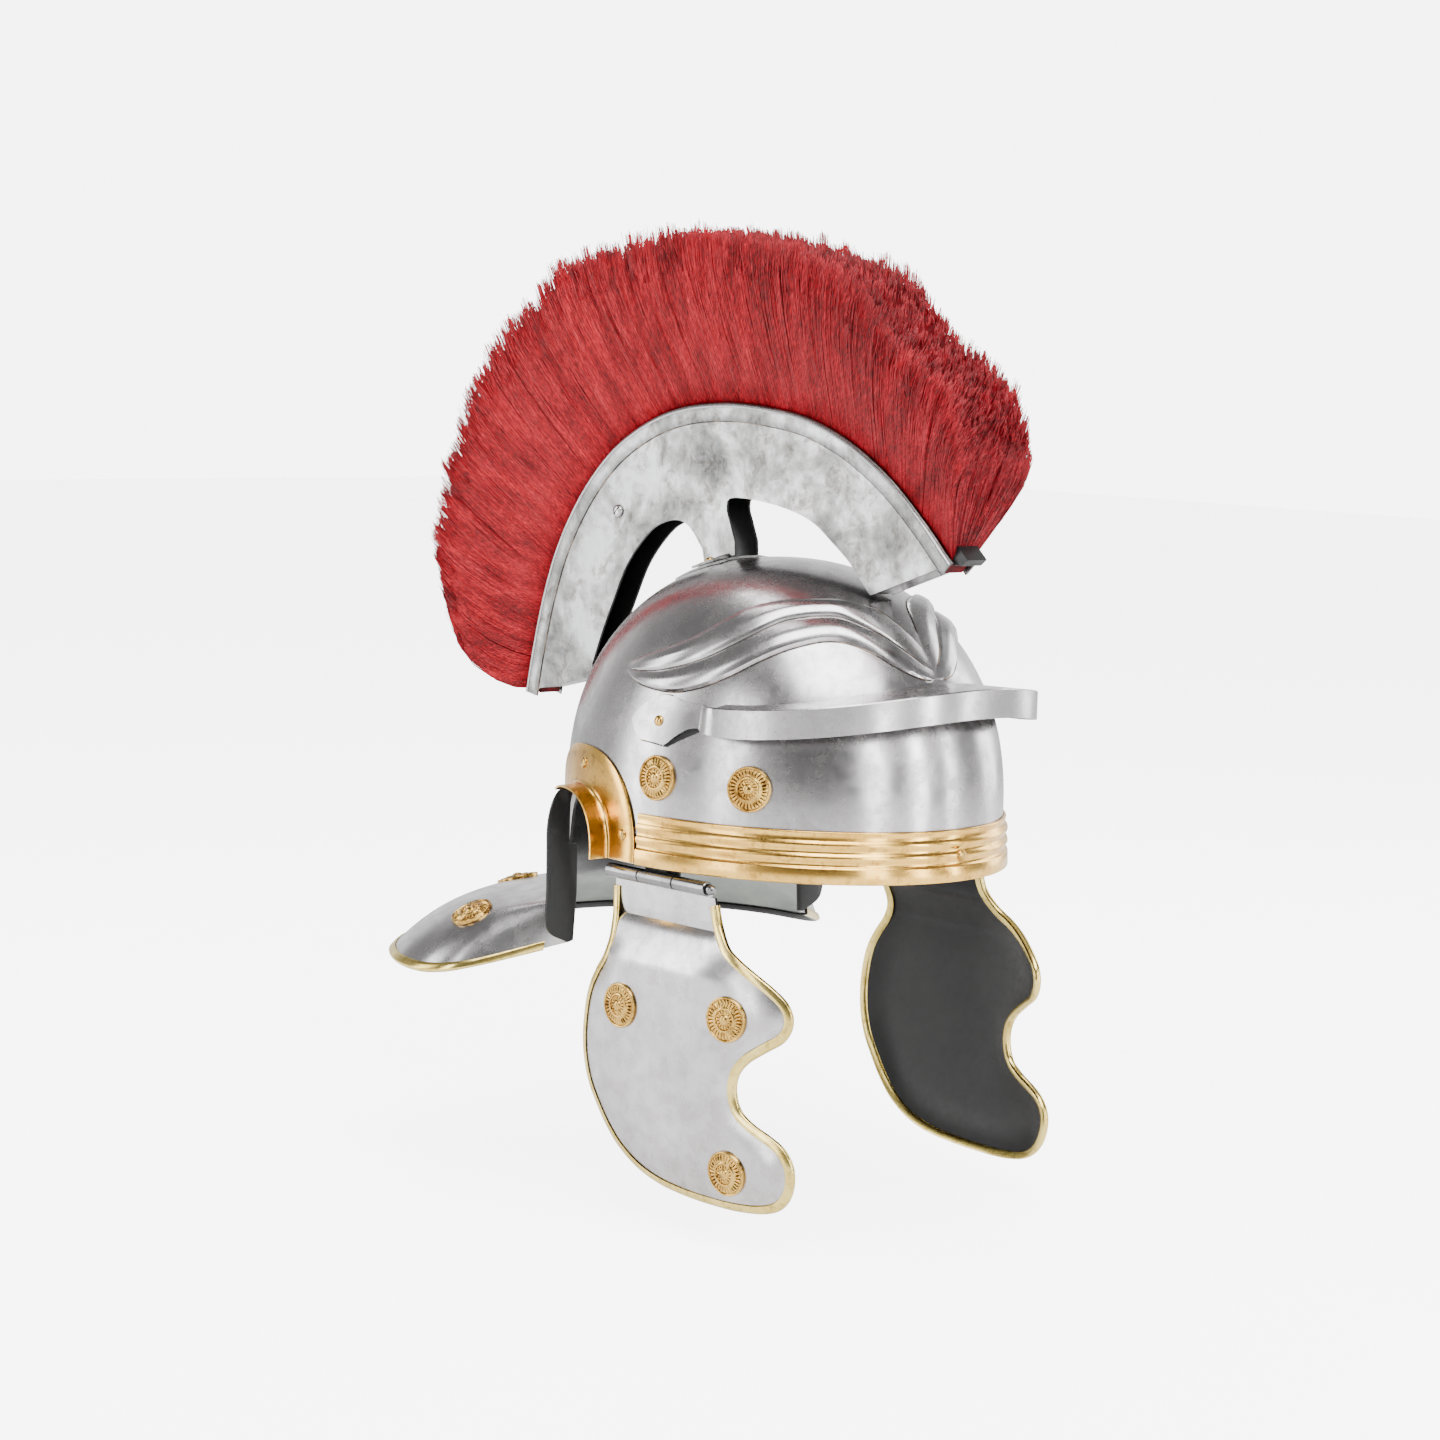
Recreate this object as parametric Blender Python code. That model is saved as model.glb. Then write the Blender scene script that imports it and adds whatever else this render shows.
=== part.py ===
"""Roman legionary helmet: steel skull bowl with embossed brows, brow guard, ear guards,
neck guard, hinged cheek pieces and a fore-and-aft crest of red hair.

Frame: origin at the centre of the bowl's rim plane, -Y is the front, +X the wearer's left,
+Z up. Lengths are in metres."""
import math

import bmesh
import bpy
import numpy as np
from mathutils import Vector
from mathutils.geometry import delaunay_2d_cdt

for old in list(bpy.data.objects):
    bpy.data.objects.remove(old, do_unlink=True)

MM = 0.001

# Sizes of the skull bowl
BOWL_HALF_LENGTH = 115.0 * MM
BOWL_HALF_WIDTH = 93.5 * MM
BOWL_HEIGHT = 139.8 * MM
BOWL_WIDEST_HEIGHT = 26.9 * MM
BOWL_RIM_SHARE = 1.007
BOWL_RISE_POWER = 2.204
BOWL_ROUND_POWER = 2.15
SHEET = 1.5 * MM
SEAT_GAP = 0.3 * MM
BROW_HEIGHT = 3.0 * MM

# Sizes of the rim band
BAND_HEIGHT = 24.0 * MM
BAND_PROUD = 2.4 * MM
BAND_END = -2.0 * MM

# Sizes of the brow guard
VISOR_SIDE_ROOM = 4.5 * MM
VISOR_FRONT_ROOM = 12.0 * MM
VISOR_HALF_WIDTH = BOWL_HALF_WIDTH + VISOR_SIDE_ROOM
VISOR_REACH = BOWL_HALF_LENGTH + VISOR_FRONT_ROOM
VISOR_PLAN_POWER = 2.3
VISOR_FRONT_HEIGHT = 89.0 * MM
VISOR_SIDE_HEIGHT = 77.5 * MM
VISOR_DROP = 13.5 * MM
VISOR_END_DROP = 12.2 * MM
VISOR_SHEET = 1.4 * MM

# Sizes of the ear guards and of the cut-out behind them
EAR_MIDDLE = 47.0 * MM
EAR_ARCH_LENGTH = 27.0 * MM
EAR_ARCH_HEIGHT = 30.0 * MM
EAR_ARCH_POWER = 2.4
EAR_PLATE_MIDDLE = 45.5 * MM
EAR_PLATE_LENGTH = 45.5 * MM
EAR_PLATE_HEIGHT = 50.0 * MM
EAR_STAND_OUT = 12.0 * MM
EAR_WALL_END = 61.6 * MM
EAR_STEP = 0.2 * MM
EAR_SHEET = 1.0 * MM
EAR_CUT_MIDDLE = 43.5 * MM
EAR_CUT_LENGTH = 21.5 * MM
EAR_CUT_HEIGHT = 27.5 * MM
EAR_CUT_DEPTH = 33.0 * MM
EAR_CUT_PAST = 16.0 * MM

# Sizes of the neck guard
NECK_FRONT = 63.2 * MM
NECK_SIDE = 35.5 * MM
NECK_REAR = 73.0 * MM
NECK_HALF_WIDTH = BOWL_HALF_WIDTH + NECK_SIDE
NECK_REACH = BOWL_HALF_LENGTH + NECK_REAR
NECK_DROP = 63.5 * MM
NAPE_DROP = 52.8 * MM
NAPE_TUCK = 3.0 * MM
FLANGE_PROUD = 0.1 * MM
FLANGE_HALF_WIDTH = BOWL_HALF_WIDTH + FLANGE_PROUD
FLANGE_SHEET = 1.6 * MM
FLANGE_FOOT = 48.0 * MM

# Sizes of the hinges and cheek pieces
HINGE_INSET = 2.5 * MM
HINGE_X = BOWL_HALF_WIDTH - HINGE_INSET
HINGE_Z = -5.5 * MM
HINGE_REAR = 21.0 * MM
HINGE_FRONT = -47.0 * MM
KNUCKLE_RADIUS = 3.3 * MM
KNUCKLE_BORE = 1.45 * MM
PIN_RADIUS = 1.4 * MM
KNUCKLE_REAR_SPLIT = -1.3 * MM
KNUCKLE_FRONT_SPLIT = -25.0 * MM
CHEEK_HEIGHT = 140.5 * MM
CHEEK_LENGTH = 142.0 * MM
CHEEK_TOP = -9.4 * MM
CHEEK_DOME = 9.5 * MM
CHEEK_SHEET = 1.4 * MM
HINGE_STRIP = 16.0 * MM
LEAF_SHEET = 1.2 * MM
LEAF_HEIGHT = 15.0 * MM
PIN_FRONT_END = 4.0 * MM
PIN_REAR_END = 1.0 * MM
CHEEK_CURL_START = 40.0 * MM
CHEEK_CURL_UPPER = 232.0 * MM
CHEEK_CURL_LOWER = 500.0 * MM
CHEEK_BACK_START = 5.0 * MM
CHEEK_BACK_CURL = 833.0 * MM
CHEEK_GRID = 14.0 * MM

# Sizes of the brass binding round a sheet's edge
BINDING_WALL = 0.8 * MM
BINDING_GAP = 0.25 * MM
BINDING_DEPTH = 3.2 * MM
BINDING_INSET = 5.0 * MM

# Sizes of the crest box and the hair
CREST_HALF_WIDTH = 8.0 * MM
CREST_SHEET = 1.2 * MM
CREST_FOLD = 8.0 * MM
CREST_FOLD_PROUD = 0.8 * MM
CREST_WEB_DEPTH = 9.0 * MM
CREST_OVERHANG = 67.0 * MM
CREST_RISE = 71.2 * MM
CREST_REAR = BOWL_HALF_LENGTH + CREST_OVERHANG
CREST_TOP = BOWL_HEIGHT + CREST_RISE
CREST_FOOT_WIDTH = 10.0 * MM
CREST_FOOT_SHEET = 1.2 * MM
CREST_FOOT_MARGIN = 3.0 * MM
CREST_PLATE_SHEET = 1.0 * MM
CREST_PLATE_MARGIN = 6.0 * MM
CREST_PLATE_OVERLAP = 3.0 * MM
HAIR_REAR_LENGTH = 68.0 * MM
HAIR_TOP_LENGTH = 84.0 * MM
HAIR_REAR = CREST_REAR + HAIR_REAR_LENGTH
HAIR_TOP = CREST_TOP + HAIR_TOP_LENGTH
HAIR_SAG = 8.0 * MM
HAIR_HALF_WIDTH = 25.0 * MM

# Sizes of the rosettes and rivets
ROSETTE_RADIUS = 10.5 * MM
ROSETTE_HEIGHT = 3.2 * MM
RIVET_RADIUS = 2.6 * MM
RIVET_HEIGHT = 1.5 * MM

SIDES = {"right": -1.0, "left": 1.0}

# Degrees from the front; lower edge, groove and upper edge of a brow as shares of BOWL_HEIGHT;
# share of the relief's full height
BROW_LINES = (
    (0.0, 0.660, 0.705, 0.800, 0.0),
    (3.0, 0.655, 0.690, 0.825, 0.5),
    (7.5, 0.655, 0.722, 0.850, 1.0),
    (15.0, 0.690, 0.782, 0.877, 1.0),
    (22.5, 0.735, 0.813, 0.886, 1.0),
    (30.0, 0.762, 0.836, 0.888, 1.0),
    (37.5, 0.766, 0.838, 0.886, 1.0),
    (45.0, 0.752, 0.832, 0.884, 1.0),
    (52.5, 0.727, 0.817, 0.880, 1.0),
    (60.0, 0.688, 0.784, 0.870, 1.0),
    (67.5, 0.640, 0.740, 0.848, 1.0),
    (75.0, 0.600, 0.695, 0.805, 1.0),
    (82.5, 0.577, 0.662, 0.752, 1.0),
    (90.0, 0.577, 0.638, 0.715, 0.9),
    (97.5, 0.590, 0.628, 0.685, 0.6),
    (105.0, 0.600, 0.630, 0.665, 0.0),
    (180.0, 0.600, 0.670, 0.740, 0.0),
)

# Shares of BAND_HEIGHT; how far the outer face stands out as a share of BAND_PROUD
BAND_PROFILE = (
    (0.00, 0.75),
    (0.04, 1.00),
    (0.29, 1.00),
    (0.35, 0.58),
    (0.42, 0.58),
    (0.50, 1.00),
    (0.58, 0.58),
    (0.67, 0.58),
    (0.75, 1.00),
    (0.83, 0.58),
    (0.95, 0.58),
    (1.00, 0.50),
)

# End plate of the brow guard from its neck to its tip: y over VISOR_HALF_WIDTH,
# lower and upper edge over VISOR_SIDE_HEIGHT
END_PLATE = (
    (-0.330, 0.850, 0.985),
    (-0.270, 0.835, 0.983),
    (-0.210, 0.790, 0.990),
    (-0.155, 0.735, 1.008),
    (-0.100, 0.738, 1.015),
    (-0.040, 0.745, 0.995),
    (0.010, 0.750, 0.965),
    (0.055, 0.795, 0.915),
    (0.088, 0.842, 0.862),
)

# Brim's edge from the flange to the middle: x over NECK_HALF_WIDTH, y over NECK_REACH,
# drop over NECK_DROP
BRIM_EDGE = (
    (0.604, 0.338, 0.750),
    (0.713, 0.388, 0.819),
    (0.853, 0.452, 0.906),
    (0.946, 0.505, 0.961),
    (0.992, 0.569, 0.992),
    (1.000, 0.638, 1.000),
    (0.969, 0.729, 0.992),
    (0.876, 0.830, 0.976),
    (0.736, 0.904, 0.961),
    (0.543, 0.957, 0.945),
    (0.310, 0.989, 0.929),
    (0.000, 1.000, 0.921),
)

# Flange at the ear: x over FLANGE_HALF_WIDTH, z over FLANGE_FOOT
FLANGE_OUTLINE = (
    (0.854, 0.010),
    (0.854, 0.525),
    (0.885, 0.562),
    (0.925, 0.548),
    (0.965, 0.455),
    (0.990, 0.310),
    (1.000, 0.160),
    (0.998, -0.040),
    (0.993, -0.420),
    (0.984, -0.840),
    (0.848, -1.000),
    (0.812, -0.985),
    (0.796, -0.500),
    (0.800, -0.010),
)

# Cheek piece's edge from the hinge's rear end round to its front end:
# y over CHEEK_LENGTH, depth below the top over CHEEK_HEIGHT
CHEEK_EDGE = (
    (0.128, 0.000),
    (0.124, 0.075),
    (0.110, 0.145),
    (0.105, 0.200),
    (0.124, 0.255),
    (0.162, 0.310),
    (0.195, 0.370),
    (0.215, 0.445),
    (0.223, 0.540),
    (0.214, 0.625),
    (0.190, 0.700),
    (0.152, 0.765),
    (0.105, 0.832),
    (0.042, 0.897),
    (-0.045, 0.950),
    (-0.145, 0.981),
    (-0.261, 0.995),
    (-0.383, 1.000),
    (-0.490, 0.999),
    (-0.588, 0.988),
    (-0.655, 0.964),
    (-0.696, 0.920),
    (-0.713, 0.865),
    (-0.708, 0.812),
    (-0.675, 0.765),
    (-0.620, 0.733),
    (-0.560, 0.706),
    (-0.510, 0.668),
    (-0.488, 0.610),
    (-0.495, 0.550),
    (-0.530, 0.502),
    (-0.590, 0.458),
    (-0.645, 0.418),
    (-0.668, 0.365),
    (-0.655, 0.311),
    (-0.610, 0.266),
    (-0.545, 0.221),
    (-0.480, 0.182),
    (-0.425, 0.148),
    (-0.374, 0.085),
    (-0.346, 0.000),
)

# Crest box's outer edge from the rear end to the front end: y over CREST_REAR, z over CREST_TOP
CREST_OUTER = (
    (1.000, 0.275),
    (0.973, 0.389),
    (0.934, 0.517),
    (0.876, 0.645),
    (0.780, 0.773),
    (0.660, 0.877),
    (0.516, 0.948),
    (0.374, 0.986),
    (0.214, 1.000),
    (0.060, 0.995),
    (-0.093, 0.976),
    (-0.247, 0.929),
    (-0.390, 0.858),
    (-0.511, 0.773),
    (-0.615, 0.687),
)

# Crest box's inner edge from the rear end to the front end, in the same shares
CREST_INNER = (
    (0.720, 0.334),
    (0.725, 0.365),
    (0.692, 0.436),
    (0.648, 0.517),
    (0.588, 0.616),
    (0.505, 0.692),
    (0.440, 0.720),
    (0.379, 0.725),
    (0.335, 0.706),
    (0.291, 0.664),
    (0.280, 0.6265),
    (0.165, 0.6585),
    (0.168, 0.690),
    (0.190, 0.735),
    (0.203, 0.765),
    (0.187, 0.787),
    (0.093, 0.787),
    (-0.027, 0.773),
    (-0.121, 0.749),
    (-0.198, 0.706),
    (-0.258, 0.668),
    (-0.297, 0.635),
    (-0.338, 0.600),
)

# Front and rear end of the strut's foot over CREST_REAR, as in the table above
STRUT_FOOT = (0.165, 0.280)

# Hair's outer edge from the rear to the front: y over HAIR_REAR, z over HAIR_TOP
HAIR_EDGE = (
    (0.920, 0.305),
    (0.968, 0.383),
    (1.000, 0.468),
    (0.980, 0.539),
    (0.960, 0.600),
    (0.916, 0.675),
    (0.876, 0.759),
    (0.828, 0.814),
    (0.760, 0.861),
    (0.672, 0.905),
    (0.600, 0.948),
    (0.508, 0.958),
    (0.420, 0.973),
    (0.328, 0.986),
    (0.216, 1.000),
    (0.092, 0.993),
    (-0.020, 0.976),
    (-0.128, 0.963),
    (-0.224, 0.942),
    (-0.304, 0.895),
    (-0.376, 0.854),
    (-0.440, 0.820),
    (-0.496, 0.786),
    (-0.524, 0.729),
    (-0.536, 0.661),
)


def scaled(rows, *sizes):
    """Table of shares turned into lengths, one size for each column."""
    return [tuple(v * s for v, s in zip(row, sizes)) for row in rows]


def share_at(z):
    """Bowl's radius at height z as a share of its half width and half length."""
    if z < BOWL_WIDEST_HEIGHT:
        below = (BOWL_WIDEST_HEIGHT - z) / BOWL_WIDEST_HEIGHT
        return 1.0 - (1.0 - BOWL_RIM_SHARE) * below * below
    t = min(1.0, (z - BOWL_WIDEST_HEIGHT) / (BOWL_HEIGHT - BOWL_WIDEST_HEIGHT))
    return (1.0 - t**BOWL_RISE_POWER) ** (1.0 / BOWL_ROUND_POWER)


def height_at(share):
    """Height at which the bowl's radius has shrunk to the given share."""
    t = (1.0 - min(1.0, share) ** BOWL_ROUND_POWER) ** (1.0 / BOWL_RISE_POWER)
    return BOWL_WIDEST_HEIGHT + (BOWL_HEIGHT - BOWL_WIDEST_HEIGHT) * t


def bowl_normal(point):
    """Outward direction of the bowl's outer face at a point on it."""
    x, y, z = point
    step = 0.2 * MM
    low, high = max(z - step, 0.0), min(z + step, BOWL_HEIGHT)
    slope = (share_at(high) ** 2 - share_at(low) ** 2) / (high - low)
    return Vector((2 * x / BOWL_HALF_WIDTH**2, 2 * y / BOWL_HALF_LENGTH**2, -slope)).normalized()


def bowl_point(degrees, z, out=0.0):
    """Point at an angle from the front towards the wearer's left, out from the outer face."""
    turn = math.radians(degrees)
    share = share_at(z)
    point = Vector(
        (BOWL_HALF_WIDTH * share * math.sin(turn), -BOWL_HALF_LENGTH * share * math.cos(turn), z)
    )
    if share < 1e-6:
        return point + Vector((0, 0, out))
    return point + bowl_normal(point) * out


def bowl_side(side, y, z, out=0.0):
    """Point of the bowl's left or right face at y and z, moved out along the normal."""
    share = share_at(z)
    x = side * BOWL_HALF_WIDTH * math.sqrt(max(share**2 - (y / BOWL_HALF_LENGTH) ** 2, 0.0))
    point = Vector((x, y, z))
    return point + bowl_normal(point) * out


def bowl_top(x, y, out=0.0):
    """Point of the bowl's upper face above x and y, moved out along the normal."""
    z = height_at(math.hypot(x / BOWL_HALF_WIDTH, y / BOWL_HALF_LENGTH))
    point = Vector((x, y, z))
    return point + bowl_normal(point) * out


def between(rows, x, column):
    """Value of a table's column at x, straight between its rows."""
    return float(np.interp(x, [row[0] for row in rows], [row[column] for row in rows]))


def material(name, color, metallic, roughness):
    made = bpy.data.materials.new(name)
    made.use_nodes = True
    shader = made.node_tree.nodes["Principled BSDF"]
    shader.inputs["Base Color"].default_value = (*color, 1.0)
    shader.inputs["Metallic"].default_value = metallic
    shader.inputs["Roughness"].default_value = roughness
    made.diffuse_color = (*color, 1.0)
    return made


STEEL = material("polished_steel", (0.60, 0.60, 0.61), 1.0, 0.22)
CREST_STEEL = material("dull_steel", (0.55, 0.55, 0.54), 1.0, 0.42)
BRASS = material("brass", (0.80, 0.58, 0.27), 1.0, 0.28)
HAIR = material("red_hair", (0.55, 0.03, 0.04), 0.0, 0.70)


def add(name, verts, faces, look, sharp=35.0):
    """Closed mesh object with its faces turned outward."""
    mesh = bpy.data.meshes.new(name)
    mesh.from_pydata([tuple(v) for v in verts], [], faces)
    bm = bmesh.new()
    bm.from_mesh(mesh)
    bmesh.ops.remove_doubles(bm, verts=bm.verts, dist=1e-7)
    bmesh.ops.recalc_face_normals(bm, faces=bm.faces)
    bm.to_mesh(mesh)
    bm.free()
    mesh.materials.append(look)
    mesh.shade_smooth()
    mesh.set_sharp_from_angle(angle=math.radians(sharp))
    made = bpy.data.objects.new(name, mesh)
    bpy.context.scene.collection.objects.link(made)
    return made


def combine(base, others, operation):
    """Base joined with, or cut by, the other objects, which are then removed."""
    for other in others:
        change = base.modifiers.new("solid", "BOOLEAN")
        change.operation = operation
        change.solver = "EXACT"
        change.object = other
        graph = bpy.context.evaluated_depsgraph_get()
        mesh = bpy.data.meshes.new_from_object(base.evaluated_get(graph))
        base.modifiers.clear()
        old = base.data
        base.data = mesh
        mesh.name = base.name
        bpy.data.meshes.remove(old)
        bpy.data.objects.remove(other, do_unlink=True)
    bm = bmesh.new()
    bm.from_mesh(base.data)
    bmesh.ops.remove_doubles(bm, verts=bm.verts, dist=2e-6)
    bmesh.ops.dissolve_degenerate(bm, edges=bm.edges, dist=2e-6)
    bmesh.ops.triangulate(bm, faces=[f for f in bm.faces if len(f.verts) > 4])
    bm.to_mesh(base.data)
    bm.free()
    base.data.shade_smooth()
    base.data.set_sharp_from_angle(angle=math.radians(35.0))
    return base


def loft(rings, closed_path=False):
    """Vertices and faces of a body whose cross-sections are closed loops of equal length."""
    count = len(rings[0])
    verts = [p for ring in rings for p in ring]
    faces = []
    spans = len(rings) if closed_path else len(rings) - 1
    for i in range(spans):
        j = (i + 1) % len(rings)
        for k in range(count):
            n = (k + 1) % count
            faces.append((i * count + k, i * count + n, j * count + n, j * count + k))
    if not closed_path:
        faces.append(tuple(range(count)))
        faces.append(tuple(reversed(range((len(rings) - 1) * count, len(rings) * count))))
    return verts, faces


def sheet(outer, inner):
    """Vertices and faces of a sheet between two grids of points with open edges."""
    rows, columns = len(outer), len(outer[0])
    verts = [p for row in outer for p in row] + [p for row in inner for p in row]
    base = rows * columns
    faces = []
    for i in range(rows - 1):
        for j in range(columns - 1):
            a, b = i * columns + j, i * columns + j + 1
            c, d = (i + 1) * columns + j + 1, (i + 1) * columns + j
            faces.append((a, b, c, d))
            faces.append((base + d, base + c, base + b, base + a))
    rim = [j for j in range(columns)]
    rim += [i * columns + columns - 1 for i in range(1, rows)]
    rim += [(rows - 1) * columns + j for j in range(columns - 2, -1, -1)]
    rim += [i * columns for i in range(rows - 2, 0, -1)]
    for k, a in enumerate(rim):
        b = rim[(k + 1) % len(rim)]
        faces.append((a, b, base + b, base + a))
    return verts, faces


def turned(profile, centre, axis, steps):
    """Body turned about an axis from pairs of radius and height, both ends on the axis."""
    axis = Vector(axis).normalized()
    side = axis.orthogonal().normalized()
    up = axis.cross(side)
    verts, faces = [], []
    rings = []
    for radius, height in profile:
        if radius < 1e-9:
            rings.append([len(verts)])
            verts.append(centre + axis * height)
            continue
        ring = []
        for k in range(steps):
            turn = 2 * math.pi * k / steps
            ring.append(len(verts))
            spoke = side * math.cos(turn) + up * math.sin(turn)
            verts.append(centre + axis * height + spoke * radius)
        rings.append(ring)
    for low, high in zip(rings, rings[1:]):
        for k in range(steps):
            n = (k + 1) % steps
            if len(low) == 1:
                faces.append((low[0], high[n], high[k]))
            elif len(high) == 1:
                faces.append((low[k], low[n], high[0]))
            else:
                faces.append((low[k], low[n], high[n], high[k]))
    return verts, faces


# Radius over ROSETTE_RADIUS, height over ROSETTE_HEIGHT
ROSETTE_PROFILE = (
    (0.00, 0.00),
    (1.00, 0.00),
    (1.00, 0.45),
    (0.80, 0.35),
    (0.45, 0.62),
    (0.38, 1.00),
    (0.00, 0.90),
)

# Radius over RIVET_RADIUS, height over RIVET_HEIGHT
RIVET_PROFILE = ((0.00, 0.00), (1.00, 0.00), (0.96, 0.40), (0.65, 0.85), (0.00, 1.00))


def rosette(name, seat, axis):
    profile = scaled(ROSETTE_PROFILE, ROSETTE_RADIUS, ROSETTE_HEIGHT)
    return add(name, *turned(profile, seat, axis, 10), BRASS, 25.0)


def rivet(name, seat, axis, look, size=1.0):
    profile = scaled(RIVET_PROFILE, RIVET_RADIUS * size, RIVET_HEIGHT * size)
    return add(name, *turned(profile, seat, axis, 8), look)


def bowl_columns():
    front = [7.5 * k for k in range(-14, 15)]
    rear = [105.0 + 150.0 * k / 11 for k in range(1, 11)]
    return front + rear


def bowl_heights(degrees):
    """Heights of the mesh rows at one column, and how far each stands out as relief."""
    away = abs(degrees) if degrees <= 180.0 else 360.0 - degrees
    low, groove, top = (between(BROW_LINES, away, c) * BOWL_HEIGHT for c in (1, 2, 3))
    rise = between(BROW_LINES, away, 4) * BROW_HEIGHT
    rows = [(0.0, 0.0), (BAND_HEIGHT * 0.5, 0.0), (BAND_HEIGHT, 0.0)]
    rows += [(BAND_HEIGHT + (low - BAND_HEIGHT) * k / 4, 0.0) for k in (1, 2, 3)]
    rows += [(low, 0.0), ((low + groove) / 2, rise), (groove, 0.3 * rise)]
    rows += [((groove + top) / 2, rise), (top, 0.0)]
    share = share_at(top)
    rows += [(height_at(share * k), 0.0) for k in (0.72, 0.46, 0.22)]
    return rows


def skull_bowl():
    columns = bowl_columns()
    verts, faces = [], []
    skins = []
    for inset in (0.0, SHEET):
        skin = []
        for degrees in columns:
            column = []
            for z, relief in bowl_heights(degrees):
                column.append(len(verts))
                verts.append(bowl_point(degrees, z, relief - inset))
            skin.append(column)
        apex = len(verts)
        verts.append(Vector((0, 0, BOWL_HEIGHT - inset)))
        for i, column in enumerate(skin):
            other = skin[(i + 1) % len(skin)]
            for a, b, c, d in zip(column, other, other[1:], column[1:]):
                faces.append((a, b, c, d) if inset == 0.0 else (d, c, b, a))
            last = (column[-1], other[-1], apex)
            faces.append(last if inset == 0.0 else last[::-1])
        skins.append(skin)
    for i, column in enumerate(skins[0]):
        j = (i + 1) % len(columns)
        faces.append((column[0], skins[0][j][0], skins[1][j][0], skins[1][i][0]))
    bowl = add("skull_bowl", verts, faces, STEEL, 25.0)
    cutters = []
    for side in SIDES.values():
        outline = []
        for k in range(17):
            turn = math.pi * k / 16
            y, z = arch(EAR_CUT_LENGTH, EAR_CUT_HEIGHT, EAR_CUT_MIDDLE, turn)
            outline.append((y, z if 0 < k < 16 else -EAR_CUT_PAST))
        near = (BOWL_HALF_WIDTH - EAR_CUT_DEPTH) * side
        far = (BOWL_HALF_WIDTH + EAR_CUT_PAST) * side
        rings = [[Vector((x, y, z)) for y, z in outline] for x in (near, far)]
        cutters.append(add("ear_cutter", *loft(rings), STEEL))
    return combine(bowl, cutters, "DIFFERENCE")


def arch(length, height, middle, turn):
    """Point of a rounded arch, from its front foot at turn zero to its rear foot."""
    along, up = math.cos(turn), math.sin(turn)
    power = 2.0 / EAR_ARCH_POWER
    y = middle - length * math.copysign(abs(along) ** power, along)
    return y, height * abs(up) ** power


def rim_band():
    start = math.degrees(math.acos(-BAND_END / (BOWL_HALF_LENGTH * BOWL_RIM_SHARE)))
    turned_back = [d - 360.0 if d > 180.0 else d for d in bowl_columns()]
    inside = sorted(d for d in turned_back if abs(d) < start - 1.0)
    rings = []
    for degrees in [-start, *inside, start]:
        ring = [bowl_point(degrees, 0.0, SEAT_GAP)]
        for height, proud in scaled(BAND_PROFILE, BAND_HEIGHT, BAND_PROUD):
            ring.append(bowl_point(degrees, height, proud))
        ring.append(bowl_point(degrees, BAND_HEIGHT, SEAT_GAP))
        ring.append(bowl_point(degrees, BAND_HEIGHT / 2, SEAT_GAP))
        rings.append(ring)
    return add("rim_band", *loft(rings), BRASS, 30.0)


def visor_height(degrees):
    lift = math.cos(math.radians(min(abs(degrees), 70.0) * 90.0 / 70.0)) ** 2
    return VISOR_SIDE_HEIGHT + (VISOR_FRONT_HEIGHT - VISOR_SIDE_HEIGHT) * lift


def visor_plan(degrees):
    """Outer face of the brow guard's strip at an angle from the front."""
    turn = math.radians(degrees)
    x, y = BOWL_HALF_WIDTH * math.sin(turn), -BOWL_HALF_LENGTH * math.cos(turn)
    power = VISOR_PLAN_POWER
    reach = (abs(x) / VISOR_HALF_WIDTH) ** power + (abs(y) / VISOR_REACH) ** power
    return x / reach ** (1 / power), y / reach ** (1 / power)


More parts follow.
